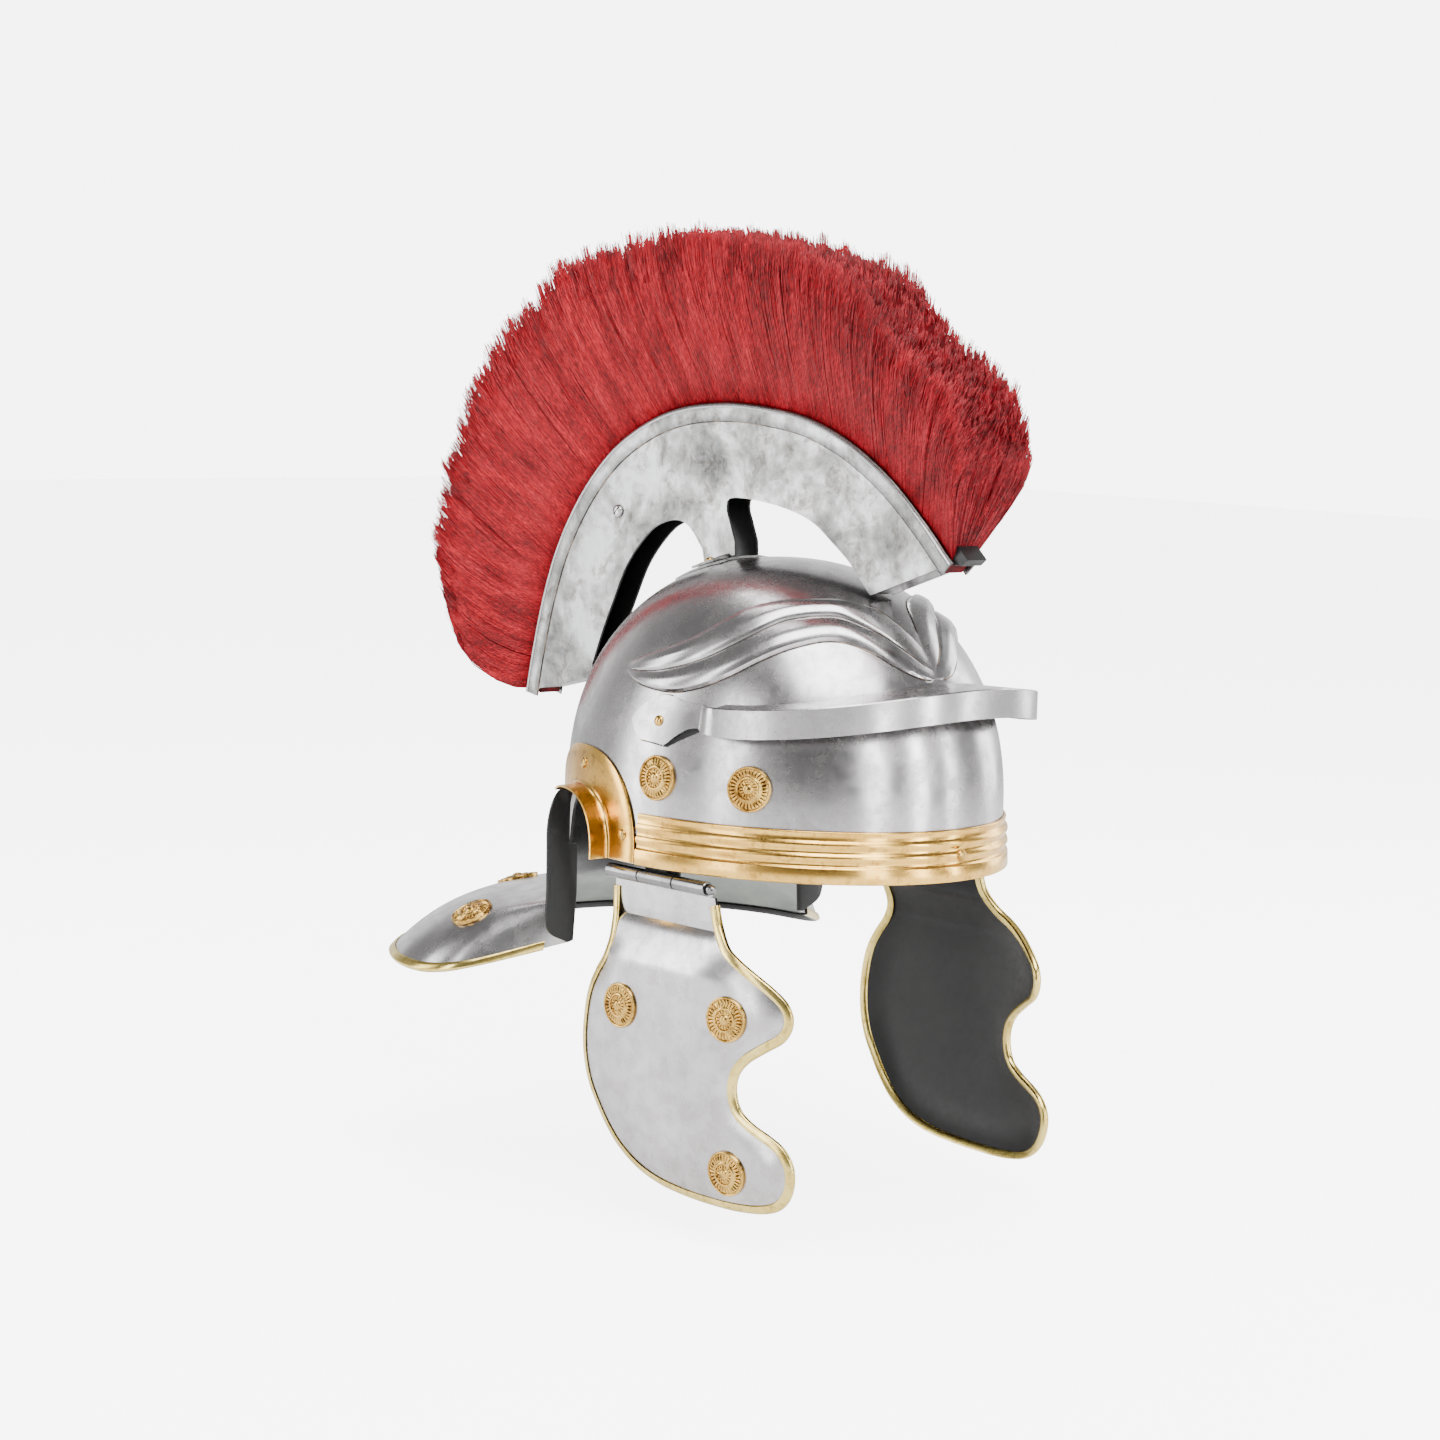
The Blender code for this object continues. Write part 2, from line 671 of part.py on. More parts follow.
def brow_guard():
    """Strip round the front whose upper edge is flanged back to the bowl, end plates on it."""
    stations = []
    plates = scaled(END_PLATE, VISOR_HALF_WIDTH, VISOR_SIDE_HEIGHT, VISOR_SIDE_HEIGHT)
    for side in (-1.0, 1.0):
        ends = []
        for y, low, top in reversed(plates):
            heights = (top, (low + top) / 2, low)
            outer = [bowl_side(side, y, z, SEAT_GAP + VISOR_SHEET) for z in heights]
            inner = [bowl_side(side, y, z, SEAT_GAP) for z in heights]
            ends.append((outer, inner, None))
        stations.append(ends)
    middle = []
    count = 23
    for k in range(count):
        degrees = -71.5 + 143.0 * k / (count - 1)
        top = visor_height(degrees)
        x, y = visor_plan(degrees)
        inward = Vector((-x, -y, 0)).normalized() * VISOR_SHEET
        ends = k in (0, count - 1)
        low = top - (VISOR_END_DROP if ends else VISOR_DROP)
        heights = (top, (low + top) / 2, low)
        outer = [Vector((x, y, z)) for z in heights]
        inner = [p + inward for p in outer]
        back = [bowl_point(degrees, top, SEAT_GAP), bowl_point(degrees, top - VISOR_SHEET, SEAT_GAP)]
        middle.append((outer, inner, back))
    path = stations[0] + middle + stations[1][::-1]
    verts, faces = [], []
    index = []
    for outer, inner, back in path:
        shoulder = inner[0] + Vector((0, 0, -VISOR_SHEET))
        loop = [outer[0], outer[1], outer[2], inner[2], inner[1], shoulder, inner[0]]
        start = len(verts)
        verts += loop
        flange = None
        if back:
            flange = (len(verts), len(verts) + 1)
            verts += back
        index.append((start, flange))
    for (a, fa), (b, fb) in zip(index, index[1:]):
        for k in range(7):
            if k == 5 and fa and fb:
                continue
            n = (k + 1) % 7
            faces.append((a + k, a + n, b + n, b + k))
        if fa and fb:
            faces.append((a + 6, fa[0], fb[0], b + 6))
            faces.append((fa[0], fa[1], fb[1], fb[0]))
            faces.append((fa[1], a + 5, b + 5, fb[1]))
    flanged = [(start, flange) for start, flange in index if flange]
    for start, flange in (flanged[0], flanged[-1]):
        faces.append((start + 5, start + 6, flange[0], flange[1]))
    first, last = index[0][0], index[-1][0]
    faces.append(tuple(first + k for k in range(7)))
    faces.append(tuple(last + k for k in reversed(range(7))))
    return add("brow_guard", verts, faces, STEEL, 30.0)


def ear_turns():
    """Places round the arch and whether its wall stands there: it ends at the flange."""
    reach = (EAR_WALL_END - EAR_MIDDLE) / EAR_ARCH_LENGTH
    end = math.pi - math.acos(reach ** (EAR_ARCH_POWER / 2.0))
    turns = [(math.pi * k / 17, True) for k in range(18)]
    turns = [(turn, turn < end) for turn, _ in turns if abs(turn - end) > 0.04]
    turns += [(end, True), (end + 0.01, False)]
    return sorted(turns)


def ear_guard(name, side):
    """Flat flange on the bowl with an arched wall standing out from it."""
    rings = []
    for turn, stands in ear_turns():
        root = arch(EAR_ARCH_LENGTH, EAR_ARCH_HEIGHT, EAR_MIDDLE, turn)
        grown = (EAR_ARCH_LENGTH + EAR_SHEET, EAR_ARCH_HEIGHT + EAR_SHEET)
        crown = arch(*grown, EAR_MIDDLE, turn)
        edge = arch(EAR_PLATE_LENGTH, EAR_PLATE_HEIGHT, EAR_PLATE_MIDDLE, turn)
        foot = 0.4 * MM
        root, crown, edge = ((y, max(z, foot)) for y, z in (root, crown, edge))
        half = ((crown[0] + edge[0]) / 2, (crown[1] + edge[1]) / 2)
        out = SEAT_GAP + EAR_SHEET
        stand = (EAR_STAND_OUT if stands else out + EAR_STEP) * side * Vector((1, 0, 0))
        ring = [bowl_side(side, *edge, SEAT_GAP), bowl_side(side, *edge, out)]
        ring.append(bowl_side(side, *half, out))
        ring.append(bowl_side(side, *crown, out))
        ring.append(bowl_side(side, *crown) + stand)
        lip = bowl_side(side, *crown) + stand
        ring.append(Vector((lip.x, root[0], root[1])))
        ring.append(bowl_side(side, *root, SEAT_GAP))
        ring.append(bowl_side(side, *half, SEAT_GAP))
        rings.append(ring)
    return add(name, *loft(rings), BRASS)


# Shares of the way down the neck guard's profile
NECK_STEPS = (0.0, 0.12, 0.28, 0.46, 0.66, 0.83, 0.94, 1.0)


def brim_lengths():
    """Edge points of half the brim and their distances from the flange, as shares."""
    edge = scaled(BRIM_EDGE, NECK_HALF_WIDTH, NECK_REACH, NECK_DROP)
    lengths = [0.0]
    for a, b in zip(edge, edge[1:]):
        lengths.append(lengths[-1] + math.dist(a[:2], b[:2]))
    return edge, [length / lengths[-1] for length in lengths]


def neck_point(share, s):
    """Middle surface at a share of the way round to the rear and a share of the way down."""
    edge, lengths = brim_lengths()
    x, y, drop = (float(np.interp(share, lengths, [p[c] for p in edge])) for c in range(3))
    rim = BOWL_RIM_SHARE
    start = math.acos(-NECK_FRONT / (BOWL_HALF_LENGTH * rim))
    turn = start + (math.pi - start) * share
    across, ahead = math.sin(turn), -math.cos(turn)
    top = Vector((BOWL_HALF_WIDTH * rim * across, BOWL_HALF_LENGTH * rim * ahead))
    normal = Vector((across / BOWL_HALF_WIDTH, ahead / BOWL_HALF_LENGTH)).normalized()
    reach = Vector((x, y)) - top
    b1, b2, b3 = 3 * s * (1 - s) ** 2, 3 * s * s * (1 - s), s**3
    plan = top - normal * NAPE_TUCK * b1 + reach * (0.448 * b2 + b3)
    return Vector((plan.x, plan.y, -SEAT_GAP - NAPE_DROP * b1 - drop * (0.118 * b2 + b3)))


def neck_grid():
    """Columns of the neck guard's sheet from the right flange round to the left one."""
    half = [[neck_point(share, s) for s in NECK_STEPS] for share in brim_lengths()[1]]
    full = [[Vector((-p.x, p.y, p.z)) for p in column] for column in half]
    return full + half[-2::-1]


def neck_seat(side, share, s, out):
    """Point above the neck guard's middle surface and the direction square to it."""
    step = 0.01
    point = neck_point(share, s)
    normal = (neck_point(share + step, s) - point).cross(neck_point(share, s + step) - point)
    normal.normalize()
    if normal.z < 0:
        normal.negate()
    seat = point + normal * out
    return Vector((side * seat.x, seat.y, seat.z)), Vector((side * normal.x, normal.y, normal.z))


def grid_normals(grid):
    """Unit directions square to a grid of points."""
    rows, columns = len(grid), len(grid[0])
    normals = []
    for i in range(rows):
        line = []
        for j in range(columns):
            along = grid[min(i + 1, rows - 1)][j] - grid[max(i - 1, 0)][j]
            across = grid[i][min(j + 1, columns - 1)] - grid[i][max(j - 1, 0)]
            line.append(along.cross(across).normalized())
        normals.append(line)
    return normals


def neck_guard():
    grid = neck_grid()
    normals = grid_normals(grid)
    outer = [[p + n * SHEET / 2 for p, n in zip(*rows)] for rows in zip(grid, normals)]
    inner = [[p - n * SHEET / 2 for p, n in zip(*rows)] for rows in zip(grid, normals)]
    for line in (outer, inner):
        for column in line:
            column[0].z = -SEAT_GAP
    guard = add("neck_guard", *sheet(outer, inner), STEEL)
    flanges = []
    for side in SIDES.values():
        outline = scaled(FLANGE_OUTLINE, FLANGE_HALF_WIDTH * side, FLANGE_FOOT)
        rings = []
        for y in (NECK_FRONT - FLANGE_SHEET / 2, NECK_FRONT + FLANGE_SHEET / 2):
            rings.append([Vector((x, y, z)) for x, z in outline])
        flanges.append(add("flange", *loft(rings), STEEL))
    return combine(guard, flanges, "UNION")


def binding(name, edge, inset, normals, thickness):
    """U-shaped brass strip round a sheet's edge, clear of it by the binding gap."""
    rings = []
    near = thickness / 2 + BINDING_GAP
    far = near + BINDING_WALL
    for point, inner, normal in zip(edge, inset, normals):
        inward = (inner - point).normalized()
        end = point + inward * BINDING_DEPTH
        bottom = point - inward * BINDING_GAP
        outside = point - inward * (BINDING_GAP + BINDING_WALL)
        rings.append(
            [
                outside + normal * far,
                end + normal * far,
                end + normal * near,
                bottom + normal * near,
                bottom - normal * near,
                end - normal * near,
                end - normal * far,
                outside - normal * far,
            ]
        )
    return add(name, *loft(rings), BRASS)


def neck_trim():
    grid = neck_grid()
    normals = grid_normals(grid)
    edge = [column[-1] for column in grid][1:-1]
    inset = [column[-2] for column in grid][1:-1]
    outward = [line[-1] for line in normals][1:-1]
    return binding("neck_trim", edge, inset, outward, SHEET)


def cheek_x(y, z):
    """Distance of a cheek piece's middle surface from the helmet's middle plane."""
    depth = (CHEEK_TOP - z) / CHEEK_HEIGHT
    strip = HINGE_STRIP / CHEEK_HEIGHT
    flat = HINGE_X - KNUCKLE_RADIUS + CHEEK_SHEET / 2
    if depth <= strip:
        return flat
    t = min(1.0, (depth - strip) / (1.0 - strip))
    rise = CHEEK_DOME * min(1.0, t / 0.14) ** 0.7
    rise *= 1.0 - 0.55 * max(0.0, (t - 0.45) / 0.55) ** 2
    low = min(1.0, max(0.0, t - 0.3) / 0.5)
    curl = max(0.0, -(y + CHEEK_CURL_START)) ** 2
    curl *= (1 - low) / CHEEK_CURL_UPPER + low / CHEEK_CURL_LOWER
    back = max(0.0, y - CHEEK_BACK_START) ** 2 / CHEEK_BACK_CURL
    return flat + rise - min(1.0, t / 0.14) * (curl + back)


def cheek_surface(side, y, z, out=0.0):
    """Point of a cheek piece and its outward direction."""
    step = 0.5 * MM
    point = Vector((side * cheek_x(y, z), y, z))
    along = Vector((side * cheek_x(y + step, z), y + step, z)) - point
    down = Vector((side * cheek_x(y, z - step), y, z - step)) - point
    normal = along.cross(down).normalized()
    if normal.x * side < 0:
        normal.negate()
    return point + normal * out, normal


def inset_loop(loop, distance):
    """Open or closed outline in a plane moved to its inner side by a distance."""
    moved = []
    count = len(loop)
    for k in range(count):
        a = Vector(loop[max(k - 1, 0)])
        b = Vector(loop[k])
        c = Vector(loop[min(k + 1, count - 1)])
        along = (c - a).normalized()
        moved.append(b + Vector((along.y, -along.x)) * distance)
    return moved


def cheek_outline():
    return [(y, CHEEK_TOP - d) for y, d in scaled(CHEEK_EDGE, CHEEK_LENGTH, CHEEK_HEIGHT)]


def cheek_piece(name, side):
    outline = cheek_outline()
    ring = inset_loop(outline, BINDING_INSET)
    ring[0] = Vector((ring[0].x, CHEEK_TOP))
    ring[-1] = Vector((ring[-1].x, CHEEK_TOP))
    points = [Vector(p) for p in outline] + ring
    count = len(outline)
    edges = [(k, (k + 1)) for k in range(count - 1)]
    edges += [(count + k, count + k + 1) for k in range(count - 1)]
    edges += [(0, count), (count - 1, 2 * count - 1), (count, 2 * count - 1)]
    inside = [(p.x, p.y) for p in ring]
    rows = np.arange(CHEEK_TOP - 0.57 * CHEEK_GRID, CHEEK_TOP - CHEEK_HEIGHT, -CHEEK_GRID)
    for z in rows:
        for y in np.arange(-0.62 * CHEEK_LENGTH, 0.22 * CHEEK_LENGTH, CHEEK_GRID):
            if point_inside((y, z), inside) and gap_to(inside, (y, z)) > 0.36 * CHEEK_GRID:
                points.append(Vector((y, z)))
    made, _, tris, *_ = delaunay_2d_cdt(points, edges, [], 1, 1e-7)
    loop = [(p.x, p.y) for p in made[:count]]
    keep = []
    for tri in tris:
        middle = (sum(made[i].x for i in tri) / 3, sum(made[i].y for i in tri) / 3)
        if point_inside(middle, loop):
            keep.append(tuple(tri))
    half = CHEEK_SHEET / 2
    front = [cheek_surface(side, p.x, p.y, half)[0] for p in made]
    back = [cheek_surface(side, p.x, p.y, -half)[0] for p in made]
    base = len(made)
    faces = keep + [tuple(base + i for i in reversed(tri)) for tri in keep]
    used = {}
    for tri in keep:
        for a, b in zip(tri, tri[1:] + tri[:1]):
            used[(a, b)] = True
    for a, b in list(used):
        if (b, a) not in used:
            faces.append((b, a, base + a, base + b))
    plate = add(name, front + back, faces, STEEL)
    tabs = []
    inner = HINGE_X - KNUCKLE_RADIUS
    for rear, ahead in (
        (HINGE_REAR - 0.5 * MM, KNUCKLE_REAR_SPLIT + 0.2 * MM),
        (KNUCKLE_FRONT_SPLIT - 0.2 * MM, HINGE_FRONT + 0.5 * MM),
    ):
        tabs.append(knuckle(side, rear, ahead))
        low = CHEEK_TOP - 1.0 * MM
        rear = min(rear, cheek_outline()[0][0] - 0.2 * MM)
        corner = [(inner + 0.05 * MM, HINGE_Z - 0.4 * MM), (inner + 0.05 * MM, low)]
        corner += [(inner + CHEEK_SHEET - 0.05 * MM, low)]
        corner += [(inner + CHEEK_SHEET - 0.05 * MM, HINGE_Z - 0.4 * MM)]
        rings = [[Vector((side * x, y, z)) for x, z in corner] for y in (rear, ahead)]
        tabs.append(add("tab", *loft(rings), STEEL))
    return combine(plate, tabs, "UNION")


def knuckle(side, rear, ahead):
    """Hinge knuckle with its bore, as a ring swept along the hinge axis."""
    steps = 12
    outer, inner = [], []
    for y in (rear, ahead):
        for radius, line in ((KNUCKLE_RADIUS, outer), (KNUCKLE_BORE, inner)):
            # The bore's corners lie outside its circle, so that its flats clear the pin
            size = radius if radius > KNUCKLE_BORE else radius / math.cos(math.pi / steps)
            for k in range(steps):
                turn = 2 * math.pi * k / steps
                x = side * (HINGE_X + size * math.cos(turn))
                line.append(Vector((x, y, HINGE_Z + size * math.sin(turn))))
    faces = []
    for k in range(steps):
        n = (k + 1) % steps
        faces.append((k, n, steps + n, steps + k))
        base = 2 * steps
        faces.append((base + k, base + steps + k, base + steps + n, base + n))
        faces.append((k, base + k, base + n, n))
        faces.append((steps + k, steps + n, base + steps + n, base + steps + k))
    return add("knuckle", outer + inner, faces, STEEL)


def point_inside(point, loop):
    x, y = point
    inside = False
    for (ax, ay), (bx, by) in zip(loop, loop[1:] + loop[:1]):
        if (ay > y) != (by > y) and x < (bx - ax) * (y - ay) / (by - ay) + ax:
            inside = not inside
    return inside


def gap_to(loop, point):
    """Distance from a point to the nearest side of a closed outline."""
    p = Vector(point)
    best = 1.0
    for a, b in zip(loop, loop[1:] + loop[:1]):
        a, b = Vector(a), Vector(b)
        span = b - a
        t = max(0.0, min(1.0, (p - a).dot(span) / span.length_squared))
        best = min(best, (p - a - span * t).length)
    return best


def cheek_trim(name, side):
    outline = cheek_outline()[1:-1]
    ring = inset_loop(cheek_outline(), BINDING_INSET)[1:-1]
    edge, inset, normals = [], [], []
    for (y, z), inner in zip(outline, ring):
        point, normal = cheek_surface(side, y, z)
        edge.append(point)
        normals.append(normal)
        inset.append(cheek_surface(side, inner.x, inner.y)[0])
    return binding(name, edge, inset, normals, CHEEK_SHEET)


def hinge_leaf(name, side):
    """Fixed leaf inside the bowl and its knuckle."""
    rear, ahead = KNUCKLE_REAR_SPLIT - 0.2 * MM, KNUCKLE_FRONT_SPLIT + 0.2 * MM
    thick = LEAF_SHEET
    rings = []
    for k in range(5):
        y = rear + (ahead - rear) * k / 4
        outer, inner = [], []
        barrel = HINGE_X - KNUCKLE_RADIUS + thick
        for z in (HINGE_Z - 0.5 * MM, -0.067 * LEAF_HEIGHT):
            outer.append(Vector((side * (barrel - 0.1 * MM), y, z)))
            inner.append(Vector((side * (barrel - thick + 0.1 * MM), y, z)))
        for z in (0.2 * LEAF_HEIGHT, 0.6 * LEAF_HEIGHT, LEAF_HEIGHT):
            outer.append(bowl_side(side, y, z, -SHEET - SEAT_GAP))
            inner.append(bowl_side(side, y, z, -SHEET - SEAT_GAP - thick))
        rings.append(outer + inner[::-1])
    leaf = add(name, *loft(rings), STEEL)
    return combine(leaf, [knuckle(side, rear, ahead)], "UNION")


def hinge_pin(name, side):
    centre = Vector((side * HINGE_X, HINGE_REAR + PIN_REAR_END, HINGE_Z))
    length = HINGE_REAR + PIN_REAR_END - HINGE_FRONT + PIN_FRONT_END
    profile = ((0.0, 0.0), (PIN_RADIUS, 0.0), (PIN_RADIUS, length), (0.0, length))
    return add(name, *turned(profile, centre, (0, -1, 0), 12), STEEL)


def crest_outlines():
    outer = scaled(CREST_OUTER, CREST_REAR, CREST_TOP)
    inner = scaled(CREST_INNER, CREST_REAR, CREST_TOP)
    foot = foot_level() + CREST_FOOT_SHEET / 2
    for y in strut_span():
        k = min(range(len(inner)), key=lambda row: abs(inner[row][0] - y) + 0.1 * inner[row][1])
        inner[k] = (y, bowl_top(CREST_HALF_WIDTH, y, foot).z)
    return outer, inner


def strut_span():
    """Front and rear end of the strut's foot."""
    return STRUT_FOOT[0] * CREST_REAR, STRUT_FOOT[1] * CREST_REAR


def foot_level():
    """Height of the feet's lower face above the bowl's outer face."""
    return SEAT_GAP + CREST_PLATE_SHEET + SEAT_GAP + 0.2 * MM


def crest_box():
    outer, inner = crest_outlines()
    fold = [tuple(p) for p in inset_loop(outer, -CREST_FOLD)]
    web = [tuple(p) for p in inset_loop(outer, -CREST_WEB_DEPTH)]
    loop = outer + inner[::-1]
    parts = []
    for side in SIDES.values():
        near = side * (CREST_HALF_WIDTH - CREST_SHEET)
        far = side * CREST_HALF_WIDTH
        points = [Vector(p) for p in loop]
        edges = [(k, (k + 1) % len(loop)) for k in range(len(loop))]
        made, _, tris, *_ = delaunay_2d_cdt(points, edges, [], 1, 1e-7)
        keep = []
        for tri in tris:
            middle = (sum(made[i].x for i in tri) / 3, sum(made[i].y for i in tri) / 3)
            if point_inside(middle, loop):
                keep.append(tuple(tri))
        base = len(made)
        verts = [Vector((near, p.x, p.y)) for p in made]
        verts += [Vector((far, p.x, p.y)) for p in made]
        faces = keep + [tuple(base + i for i in reversed(tri)) for tri in keep]
        for k in range(len(loop)):
            n = (k + 1) % len(loop)
            faces.append((k, n, base + n, base + k))
        parts.append(add("crest_plate", verts, faces, CREST_STEEL))
        rings = []
        for a, b in zip(outer, fold):
            a = Vector(a) + (Vector(a) - Vector(b)).normalized() * 0.3 * MM
            low, high = side * (CREST_HALF_WIDTH - 0.5 * MM), far + side * CREST_FOLD_PROUD
            square = ((low, a), (high, a), (high, b), (low, b))
            rings.append([Vector((x, *p)) for x, p in square])
        parts.append(add("fold", *loft(rings), CREST_STEEL))
        foot = []
        front, rear = strut_span()
        front, rear = front + CREST_FOOT_MARGIN, rear - CREST_FOOT_MARGIN
        for x in (CREST_HALF_WIDTH - 0.9 * MM, CREST_HALF_WIDTH + CREST_FOOT_WIDTH):
            line = []
            for y in (rear, front):
                line.append(bowl_top(side * x, y, foot_level()))
            for y in (front, rear):
                line.append(bowl_top(side * x, y, foot_level() + CREST_FOOT_SHEET))
            foot.append(line)
        parts.append(add("foot", *loft(foot), CREST_STEEL))
    rings = []
    for a, b in zip(web, inset_loop(outer, -CREST_WEB_DEPTH - 1.0 * MM)):
        half = CREST_HALF_WIDTH - 0.6 * MM
        square = ((-half, a), (half, a), (half, tuple(b)), (-half, tuple(b)))
        rings.append([Vector((x, *p)) for x, p in square])
    parts.append(add("web", *loft(rings), CREST_STEEL))
    box = parts[0]
    box.name = "crest_box"
    return combine(box, parts[1:], "UNION")


def crest_seat():
    """Thin plate on the bowl under the crest box's feet."""
    outer, inner = [], []
    start, end = strut_span()
    start, end = start - CREST_PLATE_MARGIN / 2, end + CREST_PLATE_MARGIN
    half = CREST_HALF_WIDTH + CREST_FOOT_WIDTH + CREST_PLATE_OVERLAP
    for k in range(5):
        y = start + (end - start) * k / 4
        across = [half * share for share in (-1.0, -0.52, 0.0, 0.52, 1.0)]
        outer.append([bowl_top(x, y, SEAT_GAP + CREST_PLATE_SHEET) for x in across])
        inner.append([bowl_top(x, y, SEAT_GAP) for x in across])
    return add("crest_seat", *sheet(outer, inner), CREST_STEEL)


def along(points, share):
    """Point at a share of an open outline's length."""
    lengths = [0.0]
    for a, b in zip(points, points[1:]):
        lengths.append(lengths[-1] + math.dist(a, b))
    at = share * lengths[-1]
    xs = np.interp(at, lengths, [p[0] for p in points])
    ys = np.interp(at, lengths, [p[1] for p in points])
    return Vector((float(xs), float(ys)))


# Half thickness of the hair over HAIR_HALF_WIDTH, share of the way from root to tip
HAIR_PROFILE = (
    (0.250, 0.02),
    (0.420, 0.16),
    (0.700, 0.42),
    (0.920, 0.70),
    (0.960, 0.92),
    (0.560, 1.00),
)


def crest_hair():
    """Locks side by side along the crest, fused to the root between the plates."""
    outer = scaled(CREST_OUTER, CREST_REAR, CREST_TOP)
    web = [tuple(p) for p in inset_loop(outer, -CREST_WEB_DEPTH + 0.9 * MM)]
    tips = scaled(HAIR_EDGE, HAIR_REAR, HAIR_TOP)
    rings = []
    count = 33
    for k in range(count):
        share = k / (count - 1)
        place = 0.004 + 0.992 * share
        floor, root, tip = along(web, place), along(outer, place), along(tips, share)
        lock = 1.0 if k % 2 else 0.86
        sag = Vector((0.25, -1.0)) * HAIR_SAG * max(0.0, 1.0 - share / 0.15)
        tip = root + (tip - root) * (1.0 if k % 2 else 0.975)
        half = CREST_HALF_WIDTH - CREST_SHEET - SEAT_GAP
        left = [(half, floor)]
        for width, way in HAIR_PROFILE:
            spot = root + (tip - root) * way + sag * 4 * way * (1 - way)
            size = max(half * 0.98, HAIR_HALF_WIDTH * width * (lock if way > 0.1 else 1.0))
            left.append((half if way < 0.1 else size, spot))
        ring = [Vector((x, *p)) for x, p in left]
        ring += [Vector((-x, *p)) for x, p in reversed(left)]
        rings.append(ring)
    return add("crest_hair", *loft(rings), HAIR, 60.0)


# Places of the rosettes on each side: y and z on the bowl; y over CHEEK_LENGTH and depth over
# CHEEK_HEIGHT on a cheek piece; shares round and down on the neck guard and the sag of its
# facets there
BOWL_ROSETTES = ((-12.0 * MM, 41.5 * MM), (-59.5 * MM, 41.0 * MM))
CHEEK_ROSETTES = ((0.014, 0.403), (-0.465, 0.371), (-0.479, 0.873))
NECK_ROSETTES = ((0.33, 0.76, 0.22 * MM), (0.785, 0.70, -0.08 * MM))

# Places of the rivets: y and z on the bowl
BROW_RIVET = (-9.3 * MM, 67.1 * MM)
EAR_RIVETS = ((8.5 * MM, 12.6 * MM), (45.5 * MM, 41.5 * MM), (82.5 * MM, 12.6 * MM))
CREST_SCREW = (115.0 * MM, 155.0 * MM)
RIVET_GAP = 0.15 * MM


def studs(name, side):
    """Rosettes and rivets of one side."""
    for k, (y, z) in enumerate(BOWL_ROSETTES, 1):
        seat = bowl_side(side, y, z)
        normal = bowl_normal(seat)
        rosette(f"bowl_rosette_{name}_{k}", seat + normal * SEAT_GAP, normal)
    for k, (y, depth) in enumerate(CHEEK_ROSETTES, 1):
        y, z = y * CHEEK_LENGTH, CHEEK_TOP - depth * CHEEK_HEIGHT
        seat, normal = cheek_surface(side, y, z, CHEEK_SHEET / 2 + SEAT_GAP)
        rosette(f"cheek_rosette_{name}_{k}", seat, normal)
    for k, (share, s, sag) in enumerate(NECK_ROSETTES, 1):
        seat, normal = neck_seat(side, share, s, SHEET / 2 - sag)
        rosette(f"neck_rosette_{name}_{k}", seat, normal)
    seat = bowl_side(side, *BROW_RIVET)
    normal = bowl_normal(seat)
    out = SEAT_GAP + VISOR_SHEET + RIVET_GAP
    rivet("brow_rivet_" + name, seat + normal * out, normal, BRASS)
    for k, (y, z) in enumerate(EAR_RIVETS, 1):
        seat = bowl_side(side, y, z)
        normal = bowl_normal(seat)
        out = SEAT_GAP + EAR_SHEET + RIVET_GAP
        rivet(f"ear_rivet_{name}_{k}", seat + normal * out, normal, BRASS)
    x = side * (CREST_HALF_WIDTH + RIVET_GAP)
    rivet("crest_screw_" + name, Vector((x, *CREST_SCREW)), (side, 0, 0), STEEL, 1.25)
    across = CREST_HALF_WIDTH + 0.55 * CREST_FOOT_WIDTH
    seat = bowl_top(side * across, sum(strut_span()) / 2)
    normal = bowl_normal(seat)
    out = foot_level() + CREST_FOOT_SHEET + RIVET_GAP
    rivet("foot_rivet_" + name, seat + normal * out, normal, BRASS)


def band_rivet():
    z = BAND_HEIGHT / 2
    seat = bowl_point(0.0, z, BAND_PROUD + RIVET_GAP)
    rivet("band_rivet", seat, (0, -1, 0), BRASS)


def main():
    skull_bowl()
    neck_guard()
    neck_trim()
    brow_guard()
    rim_band()
    crest_box()
    crest_seat()
    crest_hair()
    for name, side in SIDES.items():
        ear_guard("ear_guard_" + name, side)
        hinge_leaf("hinge_leaf_" + name, side)
        hinge_pin("hinge_pin_" + name, side)
        cheek_piece("cheek_piece_" + name, side)
        cheek_trim("cheek_trim_" + name, side)
        studs(name, side)
    band_rivet()


main()
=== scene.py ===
import math

import bmesh
import bpy
import numpy as np
from mathutils import Matrix, Vector
from mathutils.geometry import delaunay_2d_cdt

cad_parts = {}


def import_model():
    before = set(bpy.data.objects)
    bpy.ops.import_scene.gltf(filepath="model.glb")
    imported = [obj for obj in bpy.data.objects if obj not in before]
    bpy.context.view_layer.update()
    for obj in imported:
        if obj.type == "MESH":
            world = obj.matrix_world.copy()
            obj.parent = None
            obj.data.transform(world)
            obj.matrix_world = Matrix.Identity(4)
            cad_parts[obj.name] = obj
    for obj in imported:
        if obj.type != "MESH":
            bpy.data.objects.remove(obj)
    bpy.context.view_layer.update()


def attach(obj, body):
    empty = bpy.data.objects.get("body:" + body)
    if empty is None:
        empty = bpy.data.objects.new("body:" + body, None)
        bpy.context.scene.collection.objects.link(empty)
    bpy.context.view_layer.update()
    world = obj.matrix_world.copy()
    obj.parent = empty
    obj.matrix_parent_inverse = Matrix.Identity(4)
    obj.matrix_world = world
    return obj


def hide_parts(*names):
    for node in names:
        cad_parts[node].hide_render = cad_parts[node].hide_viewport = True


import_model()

rng = np.random.default_rng(11)
SIDES = {"right": -1.0, "left": 1.0}

